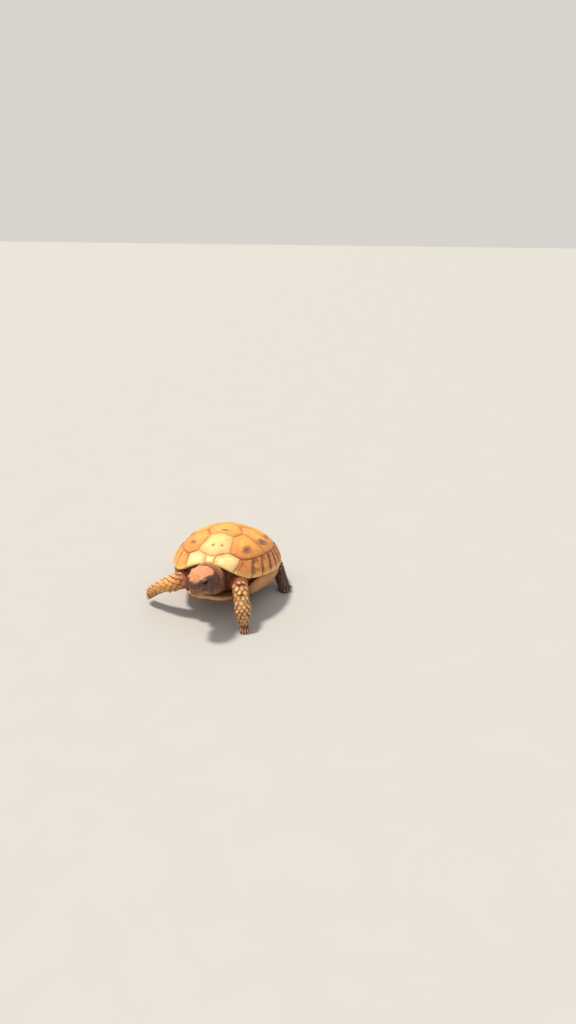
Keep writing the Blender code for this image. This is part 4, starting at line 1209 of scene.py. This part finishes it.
def head_tints(spots, normals, masks):
    """The head's colours: a pale crown, a dark face below the brow, and the horn of beak and jaw. The dark face is
    partly the skin's own colour and partly painted shade.
    """
    wander, fine = rough_noise(spots, 1.6, 71), rough_noise(spots, 0.5, 73)
    along, up = spots[:, 0], normals[:, 2]
    streak = rough_noise(spots * (0.35, 1.6, 1.0), 0.8, 75)
    # The dark face: partly its own colour, partly painted shade, laid also on the parts facing sideways and down
    # and on the snout's front
    below = np.maximum(masks["below_brow"], smooth((0.15 - up) / 0.4) * smooth((along - 2.0) / 2.0) * 0.85)
    below = np.maximum(below, smooth((0.74 - up + 0.06 * fine) / 0.2) * smooth((along - 9.6) / 0.8))
    nearest, second, value = pebbles(spots, HEAD_PEBBLE, 61)
    # Painted highlight along the brow ridge, where it faces up
    brow = smooth(masks["brow"] * 1.6 - 0.7) * smooth((up + 0.3) / 0.8) * smooth((10.6 - along) / 1.2)
    rows = mixed(
        "DA966A",
        ("EDB484", 0.5 * smooth(streak + 0.1) + 0.25 * wander),
        ("8A5238", 0.22 * masks["top"] * bell(plate_seams(spots[:, :2]), 0.16)),
        # The face's dark colour and the darker one round the eye: both partly painted shade
        ("462A29", below * (0.92 + 0.1 * wander)),
        ("3C2522", below * 0.6 * smooth((2.9 - masks["eye"]) / 1.4)),
        ("8A5F4C", below * 0.35 * smooth((second - nearest) / 0.3) * (value > 0.45)),
        # painted highlight on the brow
        ("E3B078", 0.6 * brow),
        ("A0663F", masks["beak"] * (0.7 + 0.15 * fine)),
        ("B07848", 0.5 * masks["upper_lip"]),
        ("BC8E66", masks["jaw"] * (0.3 + 0.6 * smooth((along - 6.0) / 3.0))),
        ("A67A58", masks["throat"] * 0.5),
        ("3A140F", 0.92 * masks["mouth"]),
        ("160C0A", 0.9 * bell(masks["nostril"], 0.36)),
        ("6E4A3C", 0.6 * smooth((1.6 - masks["ear"]) / 0.4)),
    )
    return rows * (1 + 0.08 * wander + 0.06 * fine)[:, None]


class Limb:
    """A leg, the neck or the tail: its path and radii, and each skin point's place along it."""

    def __init__(self, joints, broad=(0, 1, 0)):
        rows = through(joints, LIMB_STEPS)
        self.path = moved(np.stack([rows[:, 1], -rows[:, 0], rows[:, 2]], axis=1) * MM, BODY)
        self.radii = rows[:, 3:]
        self.along = unit(np.gradient(self.path, axis=0))
        broad = np.array(body_point(*broad))
        self.wide = unit(broad - self.along * (self.along @ broad)[:, None])
        self.deep = np.cross(self.along, self.wide)
        steps = np.linalg.norm(np.diff(self.path, axis=0), axis=1)
        self.run = np.concatenate([[0], np.cumsum(steps)]) / MM

    def locate(self, points):
        """Distance outside the limb's surface and length along it, in millimetres, and the angle round it."""
        best = np.full(len(points), 1e9)
        index = np.zeros(len(points), int)
        for i, place in enumerate(self.path):
            distance = np.linalg.norm(points - place, axis=1)
            closer = distance < best
            best = np.where(closer, distance, best)
            index = np.where(closer, i, index)
        offset = points - self.path[index]
        axes = (self.wide, self.deep, self.along)
        wide, deep, beyond = ((offset * rows[index]).sum(axis=1) for rows in axes)
        outside = best / MM - self.radii.mean(axis=1)[index]
        return outside, self.run[index] + beyond / MM, np.arctan2(deep, wide)

    def at(self, run, angle):
        """The axis at a length along it, the directions outwards at an angle and along, and the radius."""
        columns = np.hstack([self.path, self.along, self.wide, self.deep, self.radii]).T
        row = np.array([np.interp(run, self.run, column) for column in columns])
        place, along, wide, deep = row[:12].reshape(4, 3)
        outward = wide * math.cos(angle) * row[12] + deep * math.sin(angle) * row[13]
        return place, unit(outward), unit(along), row[12:].mean()


# Distance back from the head, height and width of each fold of the neck, in millimetres
NECK_FOLDS = ((0.5, 0.8, 0.85), (2.9, 0.7, 0.8), (5.6, 0.6, 0.8), (8.4, 0.55, 0.9))
# The skin's colour down the leg, and at the shoulder or hip
LEG_SKIN = {"foreleg": ("7A4C30", "AA5C3A"), "hindleg": ("4C3A39", "5C4846")}


def neck_fold(back, angle, points):
    """The folds of the neck, in millimetres, and a value from 0 in a crease to 1 on a fold."""
    back = back + 0.45 * noise(points, 5 * MM, 81) + 0.35 * np.sin(2 * angle + 0.7)
    relief = sum(height * bell(back - place, width) for place, height, width in NECK_FOLDS)
    return relief, np.clip(relief / max(height for _, height, _ in NECK_FOLDS), 0, 1)


def flesh_tints(found, back, crease, up, wander):
    """The colours of the trunk, neck, legs and tail, each weighed by how near a point is to it. The neck has
    painted light on its upper side and on its folds' crests, and painted shade in its creases.
    """
    # How much the skin faces up, for the neck's painted light
    lit = smooth((up + 0.2) / 0.7)
    behind_head = smooth((5.5 - back) / 3.5) * (0.2 + 0.8 * lit)
    neck = mixed(
        "6C3C2E",
        # The orange behind the head: its own colour, painted lighter on the upper side
        ("A2623C", behind_head),
        # Painted highlights on the folds' crests, most on the upper side
        ("E09E68", crease**3 * (0.3 + 0.6 * behind_head) * (0.4 + 0.6 * lit)),
        # Painted shade in the creases
        ("4A2A22", (1 - smooth(crease / 0.25)) * 0.55),
        ("A67A58", smooth((-up - 0.4) / 0.5) * 0.4),
    )
    layers = {name: (2.0, colour("4A342C")) for name in SCALED}
    layers["neck"] = (1.2, neck)
    for name in LIMBS:
        lower, upper = LEG_SKIN[name.split("_")[0]]
        layers[name] = (2.0, mixed(lower, (upper, smooth((11.0 - found[name][1]) / 4.0))))
    weights = {
        name: np.exp(-np.clip(found[name][0], 0, 9) * fall)[:, None] for name, (fall, _) in layers.items()
    }
    rows = 0.25 * mixed("5A3A30", ("7A4A38", 0.5 + 0.5 * wander))
    rows = rows + sum(weights[name] * layer for name, (_, layer) in layers.items())
    return rows / (0.25 + sum(weights.values()))


def skin():
    """One skin over all the flesh, with its folds, its small pebbled scales and the head's forms."""
    piece = joined_flesh()
    refine_head(piece)
    points, normals = mesh_points(piece.data), mesh_normals(piece.data)
    up = normals[:, 2]
    found = {name: limb.locate(points) for name, limb in {"neck": NECK, **SCALED}.items()}
    spots = in_frame(points, HEAD)
    local = normals @ np.array(HEAD.to_3x3())
    local = np.stack([-local[:, 1], local[:, 0], local[:, 2]], axis=1)
    reach = np.hypot(spots[:, 1], spots[:, 2] - 0.4)
    head = smooth((spots[:, 0] - 0.1) / 0.9) * smooth((9.0 - reach) / 1.0)
    bare = 1 - head
    masks = head_masks(spots, local)

    gap, run, angle = found["neck"]
    back = NECK.run[-1] - HEAD_JOIN - run
    fold, crease = neck_fold(back, angle, points)
    nearest, second, value = pebbles(points, SKIN_PEBBLE, 91)
    relief = head * head_relief(spots, masks)
    visible = smooth((2.0 - gap) / 1.5) * bare * smooth((run - 4.0) / 4.0)
    relief += visible * (fold - 0.2 + 2.2 * smooth((-up - 0.1) / 0.6))
    relief += bare * (0.09 * smooth((second - nearest) / 0.3) - 0.05 + 0.08 * rough_noise(points, 2.4 * MM, 93))
    for name, limb in SCALED.items():
        gap, run, _ = found[name]
        near = bare * smooth((1.6 - gap) / 1.2)
        relief += near * smooth((run - 3) / 2) * 0.1 * np.sin(run * 4.2 + 1.5 * noise(points, 4 * MM, 95))
        covered = smooth((run - SCALE_ROWS[name][0]) / 2) * smooth((limb.run[-1] - 1.5 - run) / 2.5)
        relief -= near * covered * SCALE_DEPTH * SCALE_ROWS[name][-1]
    relief -= SKIN_OVERLAP / MM * bare
    placed = points + normals * (relief * MM)[:, None]
    placed[:, 2] = np.maximum(placed[:, 2], 0.0)
    placed[(points[:, 2] < SOLE_LEVEL) & (up < -0.5), 2] = 0.0
    put_points(piece.data, placed)

    wander = rough_noise(points, 2.2 * MM, 97)
    rows = flesh_tints(found, back, crease, up, wander)
    # Painted shadow: a dark ring in the crease where the back of the head meets the neck
    ring = 0.7 * bell(spots[:, 0] + 0.1, 0.3) * smooth((8.5 - reach) / 1.0)
    rows = mixed(rows, (rows * 1.55, 0.35 * smooth((second - nearest) / 0.3) * (0.4 + value)))
    # The head's colours, and the painted shadow ring behind it
    rows = mixed(rows, (head_tints(spots, local, masks), head), ("2E1A17", ring))
    put_tint(piece.data, rows * (1 + 0.1 * wander)[:, None])
    return piece


# ---------------------------------------------------------------- eyes and lids

EYE_OUTWARD = (0.42, 0.9, 0.1)  # (forward, left, up) in the head's own frame
LID_OPENING = (math.radians(42), math.radians(31))  # half angles of the opening, along the eye and up it
LID_TURNS = 72
LID_PROFILE = (
    # (share of the way from the opening's edge to the skirt, height over the ball in millimetres)
    (0.0, -0.12), (0.0, 0.03), (0.03, 0.11), (0.08, 0.16), (0.15, 0.11), (0.22, 0.16), (0.3, 0.1), (0.38, 0.14),
    (0.46, 0.07), (0.55, 0.09), (0.66, 0.0), (0.82, -0.2), (1.0, -0.6),
)
LID_SKIRT = math.radians(96)
EYE_RINGS = 36
EYE_SIDES = 48
EYE_BULGE = 0.06  # how far the clear front stands out, as a share of the radius


def eye_axes(sign):
    """The eye's centre, its outward axis, and the axes along the eye and up it, in the model's frame."""
    turn = HEAD.to_3x3()
    (forward, left, up), (ahead, beside, above) = EYE_OUTWARD, EYE_PLACE
    outward = (turn @ body_point(forward, sign * left, up)).normalized()
    upward = turn @ Vector((0, 0, 1))
    upward = (upward - outward * upward.dot(outward)).normalized()
    centre = HEAD @ body_point(ahead, sign * beside, above)
    return [np.array(v) for v in (centre, outward, outward.cross(upward) * sign, upward)]


def eyeball(name, sign):
    """A dark eye: pupil, brown iris and a clear bulge over them."""
    centre, outward, along, upward = eye_axes(sign)
    tilts = np.linspace(0, np.pi, EYE_RINGS + 1)[1:-1]
    points = [centre + outward * EYE_RADIUS * (1 + EYE_BULGE)]
    for tilt in tilts:
        radius = EYE_RADIUS * (1 + EYE_BULGE * bell(tilt, 0.5))
        for turn in np.linspace(0, FULL_TURN, EYE_SIDES, endpoint=False):
            across = along * math.cos(turn) + upward * math.sin(turn)
            points.append(centre + (outward * math.cos(tilt) + across * math.sin(tilt)) * radius)
    points.append(centre - outward * EYE_RADIUS)
    faces = grid_faces(EYE_RINGS - 1, EYE_SIDES, 1, closed=True)
    fan(faces, 1, EYE_SIDES, 0)
    fan(faces, 1 + (EYE_RINGS - 2) * EYE_SIDES, EYE_SIDES, len(points) - 1)
    piece = new_object(name, points, faces)
    mend(piece)
    tilts = np.array([0.0, *np.repeat(tilts, EYE_SIDES), np.pi])
    iris = smooth((tilts - 0.3) / 0.06) * smooth((0.62 - tilts) / 0.08)
    rows = mixed(
        "0A0707",
        ("26150D", iris),
        ("4C2C18", iris * bell(tilts - 0.37, 0.05) * 0.6),
        ("1C100D", smooth((tilts - 0.66) / 0.1)),
    )
    put_tint(piece.data, rows)
    return piece


def eyelids(sign):
    """Both lids as one closed ring of folds, from the almond opening's edge on the ball to a hidden skirt."""
    centre, outward, along, upward = eye_axes(sign)
    wide, tall = LID_OPENING
    points, facts = [], []
    for turn in np.linspace(0, FULL_TURN, LID_TURNS, endpoint=False):
        cos, sin = math.cos(turn), math.sin(turn)
        height = tall * (1.0 if sin < 0 else 0.86)
        edge = (1 + 0.14 * abs(cos) ** 6) / math.sqrt((cos / wide) ** 2 + (sin / height) ** 2)
        across = along * cos + upward * sin
        for share, lift in LID_PROFILE:
            tilt = edge + (LID_SKIRT - edge) * share
            radius = EYE_RADIUS + (lift + 0.1 * max(sin, 0) * bell(share - 0.2, 0.2)) * MM
            points.append(centre + (outward * math.cos(tilt) + across * math.sin(tilt)) * radius)
            facts.append((share, sin, lift))
    faces = grid_faces(LID_TURNS + 1, len(LID_PROFILE), closed=True)
    faces = [tuple(i % len(points) for i in face) for face in faces]
    share, high, lift = np.array(facts).T
    shades = mixed(
        "513229",
        ("8A5E48", smooth((lift - 0.1) / 0.05) * 0.6),
        ("1E100E", smooth((0.04 - share) / 0.04) * 0.85),
        # Painted highlight on the upper lid
        ("C08A60", smooth((high - 0.4) / 0.5) * 0.5 * smooth(share / 0.2)),
    )
    return np.array(points), faces, shades


def add_lids(piece):
    """Joins the lids to the skin, as parts of the same mesh."""
    points, tints = mesh_points(piece.data), np.zeros(len(piece.data.vertices) * 4, np.float32)
    piece.data.color_attributes["Tint"].data.foreach_get("color", tints)
    tints = tints.reshape(-1, 4)[:, :3]
    faces = [tuple(p.vertices) for p in piece.data.polygons]
    for _, sign in SIDES:
        rows, more, shades = eyelids(sign)
        faces += [tuple(i + len(points) for i in face) for face in more]
        points = np.vstack([points, rows])
        tints = np.vstack([tints, shades])
    bpy.data.objects.remove(piece)
    made = new_object("skin", points, faces)
    mend(made)
    put_tint(made.data, tints)
    return made


# ---------------------------------------------------------------- scales

SCALE_ACROSS = np.array((-1.0, -0.88, -0.5, 0.0, 0.5, 0.88, 1.0))
SCALE_ALONG = np.array((0.0, 0.2, 0.42, 0.64, 0.82, 0.95, 1.0))
SCALE_PATCH = 0.003  # side of each scale's own patch on the map
SCALE_DEPTH = 0.75  # share of a scale's height by which the skin lies inside the solids
RAY_START = 2.4  # where the search for the skin starts, in radii from the limb's axis
SKIN_SLACK = 1.6  # millimetres beyond the limb's radius within which the skin still belongs to it
FLOOR_CLEARANCE = 0.8 * MM  # no scale has its root lower than this
SHELL_CLEARANCE = 0.7 * MM  # nor nearer than this to a shell
THINNING = 9  # the last millimetres, over which the scales get smaller
GROWING = 4  # the first millimetres, over which they get larger

# For each limb: first row and last row in millimetres along it, row spacing, columns, and each scale's half width,
# length and tip height
SCALE_ROWS = {
    "foreleg_left": (7.5, 27.6, 1.7, 9, 1.36, 3.1, 0.5),
    "foreleg_right": (7.0, 30.2, 1.65, 9, 1.36, 3.1, 0.5),
    "hindleg_left": (7.0, 22.5, 1.5, 13, 1.05, 2.5, 0.34),
    "hindleg_right": (7.5, 23.5, 1.5, 13, 1.05, 2.5, 0.34),
    "tail": (5.0, 15.5, 1.15, 10, 0.72, 1.7, 0.26),
}
MAP_BLOCK = (0.44, 0.29)  # each limb's share of the map, round it and along it
MAP_CORNERS = {
    "foreleg_left": (0.02, 0.02),
    "foreleg_right": (0.52, 0.02),
    "hindleg_left": (0.02, 0.35),
    "hindleg_right": (0.52, 0.35),
    "tail": (0.02, 0.68),
}
# The side of each limb that has the larger scales, as (forward, left, up)
SCALE_SIDES = {
    "foreleg_left": (0.75, 0.55, 0.35),
    "foreleg_right": (0.6, -0.2, 0.75),
    "hindleg_left": (-0.5, 0.6, 0.2),
    "hindleg_right": (-0.6, -0.5, 0.2),
    "tail": (0.0, 0.0, 1.0),
}
SCALE_COLOURS = {"foreleg_left": ("EAB87A", "875230"), "foreleg_right": ("EAB06C", "74422A")}  # middle and edge


def one_scale(root, normal, down, radius, half_width, length, height):
    """The points of one scale: low at its root, high at its free tip, with sides that go down into the skin."""
    side = np.cross(normal, down)
    across, along = np.meshgrid(SCALE_ACROSS, SCALE_ALONG)
    tip = np.clip((along - 0.5) / 0.5, 0, 1)
    outline = half_width * np.where(along < 0.5, 0.82 + 0.36 * along, (1 - 0.94 * tip**1.9) ** 0.7)
    x = across * outline
    y = (along - 0.3) * length
    crown = 0.12 * (1 - across**2) + 0.14 * (1 - np.abs(across)) * along
    z = -0.16 + (height + 0.16) * along**0.85 + height * crown
    edge = (np.abs(across) > 0.99) | (along > 0.99) | (along < 0.01)
    z = np.where(edge, -0.22, z)
    z = z - x**2 / (2 * radius)
    points = root + (x[..., None] * side + y[..., None] * down + z[..., None] * normal) * MM
    bottom = root - normal * 0.5 * MM
    return np.vstack([points.reshape(-1, 3), bottom]), across.ravel(), along.ravel()


def scale_faces(start):
    columns = len(SCALE_ACROSS)
    rows = len(SCALE_ALONG)
    faces = grid_faces(rows, columns, start)
    border = [*range(columns)] + [columns * i + columns - 1 for i in range(1, rows)]
    border += [columns * (rows - 1) + j for j in range(columns - 2, -1, -1)]
    border += [columns * i for i in range(rows - 2, 0, -1)]
    bottom = start + rows * columns
    for a, b in zip(border, border[1:] + border[:1]):
        faces.append((start + b, start + a, bottom))
    return faces


def limb_scales(name, tree, shells, source):
    """Overlapping horn scales down a leg or the tail. On the forelegs they are larger in front."""
    limb = SCALED[name]
    first, last, spacing, columns, half_width, length, tip = SCALE_ROWS[name]
    last = min(last, limb.run[-1] - 1.0)
    corner = MAP_CORNERS[name]
    fore = name.startswith("fore")
    parts, faces, count = [], [], 0
    for row, run in enumerate(np.arange(first, last, spacing)):
        for column in range(columns):
            jitter = source.uniform(-1, 1, 6)
            angle = FULL_TURN * (column + 0.5 * (row % 2) + 0.1 * jitter[0]) / columns
            place, outward, along, radius = limb.at(run + 0.15 * jitter[1] * spacing, angle)
            hit, normal, _, _ = tree.ray_cast(Vector(place + outward * radius * RAY_START * MM), Vector(-outward))
            if hit is None or (Vector(place) - hit).length > (radius + SKIN_SLACK) * MM:
                continue
            if hit.z < FLOOR_CLEARANCE or min(shell.find_nearest(hit)[3] for shell in shells) < SHELL_CLEARANCE:
                continue
            normal = unit(np.array(normal) * 0.5 + outward * 0.5)
            down = unit(along - normal * (along @ normal))
            facing = facing_share(name, normal)
            grown = first + GROWING
            if fore and facing < np.interp(run, (first, grown), (0.8, 0.4)) and run < grown:
                continue
            size = (0.74 + 0.38 * facing if fore else 0.9 + 0.15 * jitter[2]) * (0.94 + 0.08 * jitter[3])
            slimmer = np.interp(run, (last - THINNING, last), (1.0, 0.6))
            size *= slimmer * np.interp(run, (first, grown), (0.8, 1.0))
            height = tip * size * slimmer * (0.9 + 0.2 * jitter[4])
            seat = np.array(hit), normal, down, radius
            points, across, lengthwise = one_scale(*seat, half_width * size, length * size, height)
            u = corner[0] + MAP_BLOCK[0] * (angle / FULL_TURN % 1)
            v = corner[1] + MAP_BLOCK[1] * (run - first) / (last - first)
            patch = np.stack([u + across * SCALE_PATCH / 2, v + (lengthwise - 0.5) * SCALE_PATCH], axis=1)
            tints = scale_tints(name, run, facing, across, lengthwise, jitter)
            parts.append((points, tints, np.vstack([patch, (u, v)])))
            faces += scale_faces(count)
            count += len(points)
    points, tints, places = (np.vstack(rows) for rows in zip(*parts))
    piece = new_object(f"scales_{name}", points, faces)
    put_tint(piece.data, tints)
    put_map(piece.data, places)
    return piece


def facing_share(name, normal):
    """1 on the side of a limb that has the large scales, 0 on the other."""
    return float(smooth(0.5 + 0.75 * normal @ unit(body_point(*SCALE_SIDES[name]))))


def scale_tints(name, run, facing, across, along, jitter):
    """Pale in the middle of each scale and brown at its edges. The bottom point takes the last colour."""
    if name in SCALE_COLOURS:
        middle, edge = SCALE_COLOURS[name]
        middle = mixed(
            middle,
            ("A85F36", 0.5 * smooth((13.0 - run) / 5.0)),
            ("9A5A34", 0.75 * (1 - facing)),
            ("B47C57", 0.5 * smooth((run - 19.0) / 8.0)),
        )
    else:
        middle, edge = "86705F" if 0.5 + 0.5 * jitter[5] > 0.86 else "665252", "3C2D2D"
    rim = smooth((np.abs(across) - 0.55) / 0.45) * 0.75 + smooth((0.3 - along) / 0.3) * 0.6
    rim = np.clip(rim + 0.35 * smooth((along - 0.9) / 0.1), 0, 1)
    return np.vstack([mixed(middle, (edge, rim)) * (1 + 0.12 * jitter[5]), colour(edge)])


def put_map(mesh, places):
    """The map for baking: each scale's own small patch, at its root's place on the limb's unrolled surface."""
    made = mesh.uv_layers.new(name="OFBake")
    corners = np.zeros(len(mesh.loops), int)
    mesh.loops.foreach_get("vertex_index", corners)
    made.data.foreach_set("uv", places[corners].ravel())


# ---------------------------------------------------------------- claws

CLAW_RINGS = 16
CLAW_SIDES = 18
# Shares of the length, and of the half width at each
CLAW_TAPER = ((0, 0.25, 0.6, 0.88, 1.0), (1.08, 1.0, 0.72, 0.33, 0.1))
CLAW_CURVE = 0.16  # how far the tip is bent down, as a share of the length
CLAW_COLOURS = {"foreleg": ("7A5238", "D2AC84"), "hindleg": ("4A3430", "A88C74")}  # root and tip


def claw(leg, number):
    """One curved horn claw on its node's place."""
    toes, count = TOES[leg], LEGS[leg]["toes"]
    length = CLAW_LENGTH[count]
    offset = 2 * number / (count - 1) - 1
    row = body_mm(*toes["row"])
    point = (body_point(*toes["point"]) + row.normalized() * offset * 0.35).normalized()
    back = row.normalized().cross(point).normalized()
    back = back if back.z > 0 else -back
    root = body_mm(*toes["root"]) + row * offset - point * (1.2 * MM + 0.9 * MM * offset**2)
    side = back.cross(point)
    shares = np.linspace(0, 1, CLAW_RINGS)
    points = []
    for share in shares:
        size = np.interp(share, *CLAW_TAPER) * CLAW_HALF_WIDTH
        middle = root + point * length * share - back * CLAW_CURVE * length * share**2
        for turn in np.linspace(0, FULL_TURN, CLAW_SIDES, endpoint=False):
            thick = 1.25 if math.sin(turn) > 0 else 0.95
            points.append(middle + side * size * math.cos(turn) + back * size * thick * math.sin(turn))
    points += [root - point * 0.2 * MM, root + point * length * 1.01 - back * CLAW_CURVE * length]
    faces = grid_faces(CLAW_RINGS, CLAW_SIDES, closed=True)
    fan(faces, 0, CLAW_SIDES, len(points) - 2)
    fan(faces, (CLAW_RINGS - 1) * CLAW_SIDES, CLAW_SIDES, len(points) - 1)
    piece = new_object(f"horn_{leg}_{number + 1}", moved([tuple(p) for p in points], BODY), faces)
    mend(piece)
    base, tip = CLAW_COLOURS[leg.split("_")[0]]
    shares = np.array([*np.repeat(shares, CLAW_SIDES), 0.0, 1.0])
    put_tint(piece.data, mixed(base, (tip, smooth((shares - 0.1) / 0.7) * 0.8)))
    return piece


# ---------------------------------------------------------------- studio

CAMERA_DISTANCE = 0.4
CAMERA_AZIMUTH = math.radians(17)
CAMERA_ELEVATION = math.radians(28)
CAMERA_YAW = math.radians(11.998)
CAMERA_TILT = math.radians(22.211)
CAMERA_LENS = 27.18
FLOOR_REACH = 3
SURROUND = (1.0, 0.96, 0.90, 1.0)
SURROUND_STRENGTH = 0.68
KEY_FROM = (-0.22, 0.05, 0.62)
KEY_COLOUR = (1.0, 0.88, 0.72)
KEY_STRENGTH = 3.7
KEY_SIZE = math.radians(9)


def studio():
    """A plain pale floor, a warm surround, one soft warm key light, and the camera."""
    nodes = Nodes("Floor_Pale")
    base = nodes.mix(nodes.span(nodes.noise(30, 3), 0.3, 0.7, 0.0, 0.25), "B4B6B9", "AEAFB1")
    normal = nodes.bump(nodes.noise(900, 3), 0.00002, 0.3)
    corners = [(x * FLOOR_REACH, y * FLOOR_REACH, 0) for x, y in ((-1, -1), (1, -1), (1, 1), (-1, 1))]
    floor = new_object("floor", corners, [(0, 1, 2, 3)])
    floor.data.materials.append(nodes.finish(base, normal, nodes.noise(60, 2), 0.75, 0.9))

    world = bpy.data.worlds.new("Studio")
    bpy.context.scene.world = world
    world.use_nodes = True
    background = world.node_tree.nodes["Background"]
    background.inputs["Color"].default_value = SURROUND
    background.inputs["Strength"].default_value = SURROUND_STRENGTH

    lamp = bpy.data.lights.new("key", "SUN")
    lamp.angle = KEY_SIZE
    lamp.energy = KEY_STRENGTH
    lamp.color = KEY_COLOUR
    key = bpy.data.objects.new("key", lamp)
    key.location = KEY_FROM
    key.rotation_mode = "QUATERNION"
    key.rotation_quaternion = key.location.to_track_quat("Z", "Y")

    lens = bpy.data.cameras.new("camera")
    lens.lens = CAMERA_LENS
    lens.clip_start = 0.01
    camera = bpy.data.objects.new("camera", lens)
    across, up = math.cos(CAMERA_ELEVATION), math.sin(CAMERA_ELEVATION)
    place = Vector((math.sin(CAMERA_AZIMUTH) * across, -math.cos(CAMERA_AZIMUTH) * across, up)) * CAMERA_DISTANCE
    turn = Matrix.Rotation(CAMERA_YAW, 4, "Z") @ Matrix.Rotation(math.pi / 2 - CAMERA_TILT, 4, "X")
    camera.matrix_world = BODY @ Matrix.Translation(place) @ turn
    for holder in (key, camera):
        bpy.context.scene.collection.objects.link(holder)
    bpy.context.scene.camera = camera
    bpy.context.scene.view_settings.view_transform = "Standard"


# ---------------------------------------------------------------- the whole animal

BODY = body_to_model()
SHELL = BODY @ shell_matrix()
HEAD = BODY @ head_matrix()
NECK = Limb(NECK_JOINTS)
TAIL = Limb(TAIL_JOINTS)
LIMBS = {name: Limb(facts["joints"], facts["broad"]) for name, facts in LEGS.items()}
SCALED = {**LIMBS, "tail": TAIL}


def tree_of(piece):
    mesh = piece.data
    return BVHTree.FromPolygons([v.co[:] for v in mesh.vertices], [tuple(p.vertices) for p in mesh.polygons])


def main():
    horn = shell_material()
    upper, lower = upper_shell(), lower_shell()
    finish_piece(upper, horn, ["carapace"])
    finish_piece(lower, horn, ["plastron"])

    coat = skin()
    tree = tree_of(coat)
    finish_piece(add_lids(coat), skin_material(), [*SKIN_NODES, "head", "lower_jaw"])

    soft = {"Subsurface_Weight": 0.05, "Subsurface_Scale": 0.001}
    scale = plain_material(
        "Leg_Scale_Horn", 1300, (0.4, 0.4, "A87A4A"), (4200, 4, 0.00005, 0.6), 0.42, 0.62, **soft
    )
    nail = plain_material(
        "Claw_Horn", 1800, (0.35, 0.5, "C9A27A"), (0, 0, 0.00005, 0.6), 0.28, 0.45, Coat_Weight=0.15
    )
    shells = [tree_of(upper), tree_of(lower)]
    source = np.random.default_rng(2026)
    for name in SCALED:
        finish_piece(limb_scales(name, tree, shells, source), scale)
        for number in range(LEGS[name]["toes"] if name in LEGS else 0):
            finish_piece(claw(name, number), nail, [f"claw_{name}_{number + 1}"])

    wet = plain_material(
        "Eye_Wet", 3200, (0.4, 0.6, "5A3A22"), (900, 2, 0.00001, 0.3), 0.06, 0.1, Specular_IOR_Level=0.2
    )
    for side, sign in SIDES:
        finish_piece(eyeball(f"eyeball_{side}", sign), wet, [f"eye_{side}"])
    studio()


main()
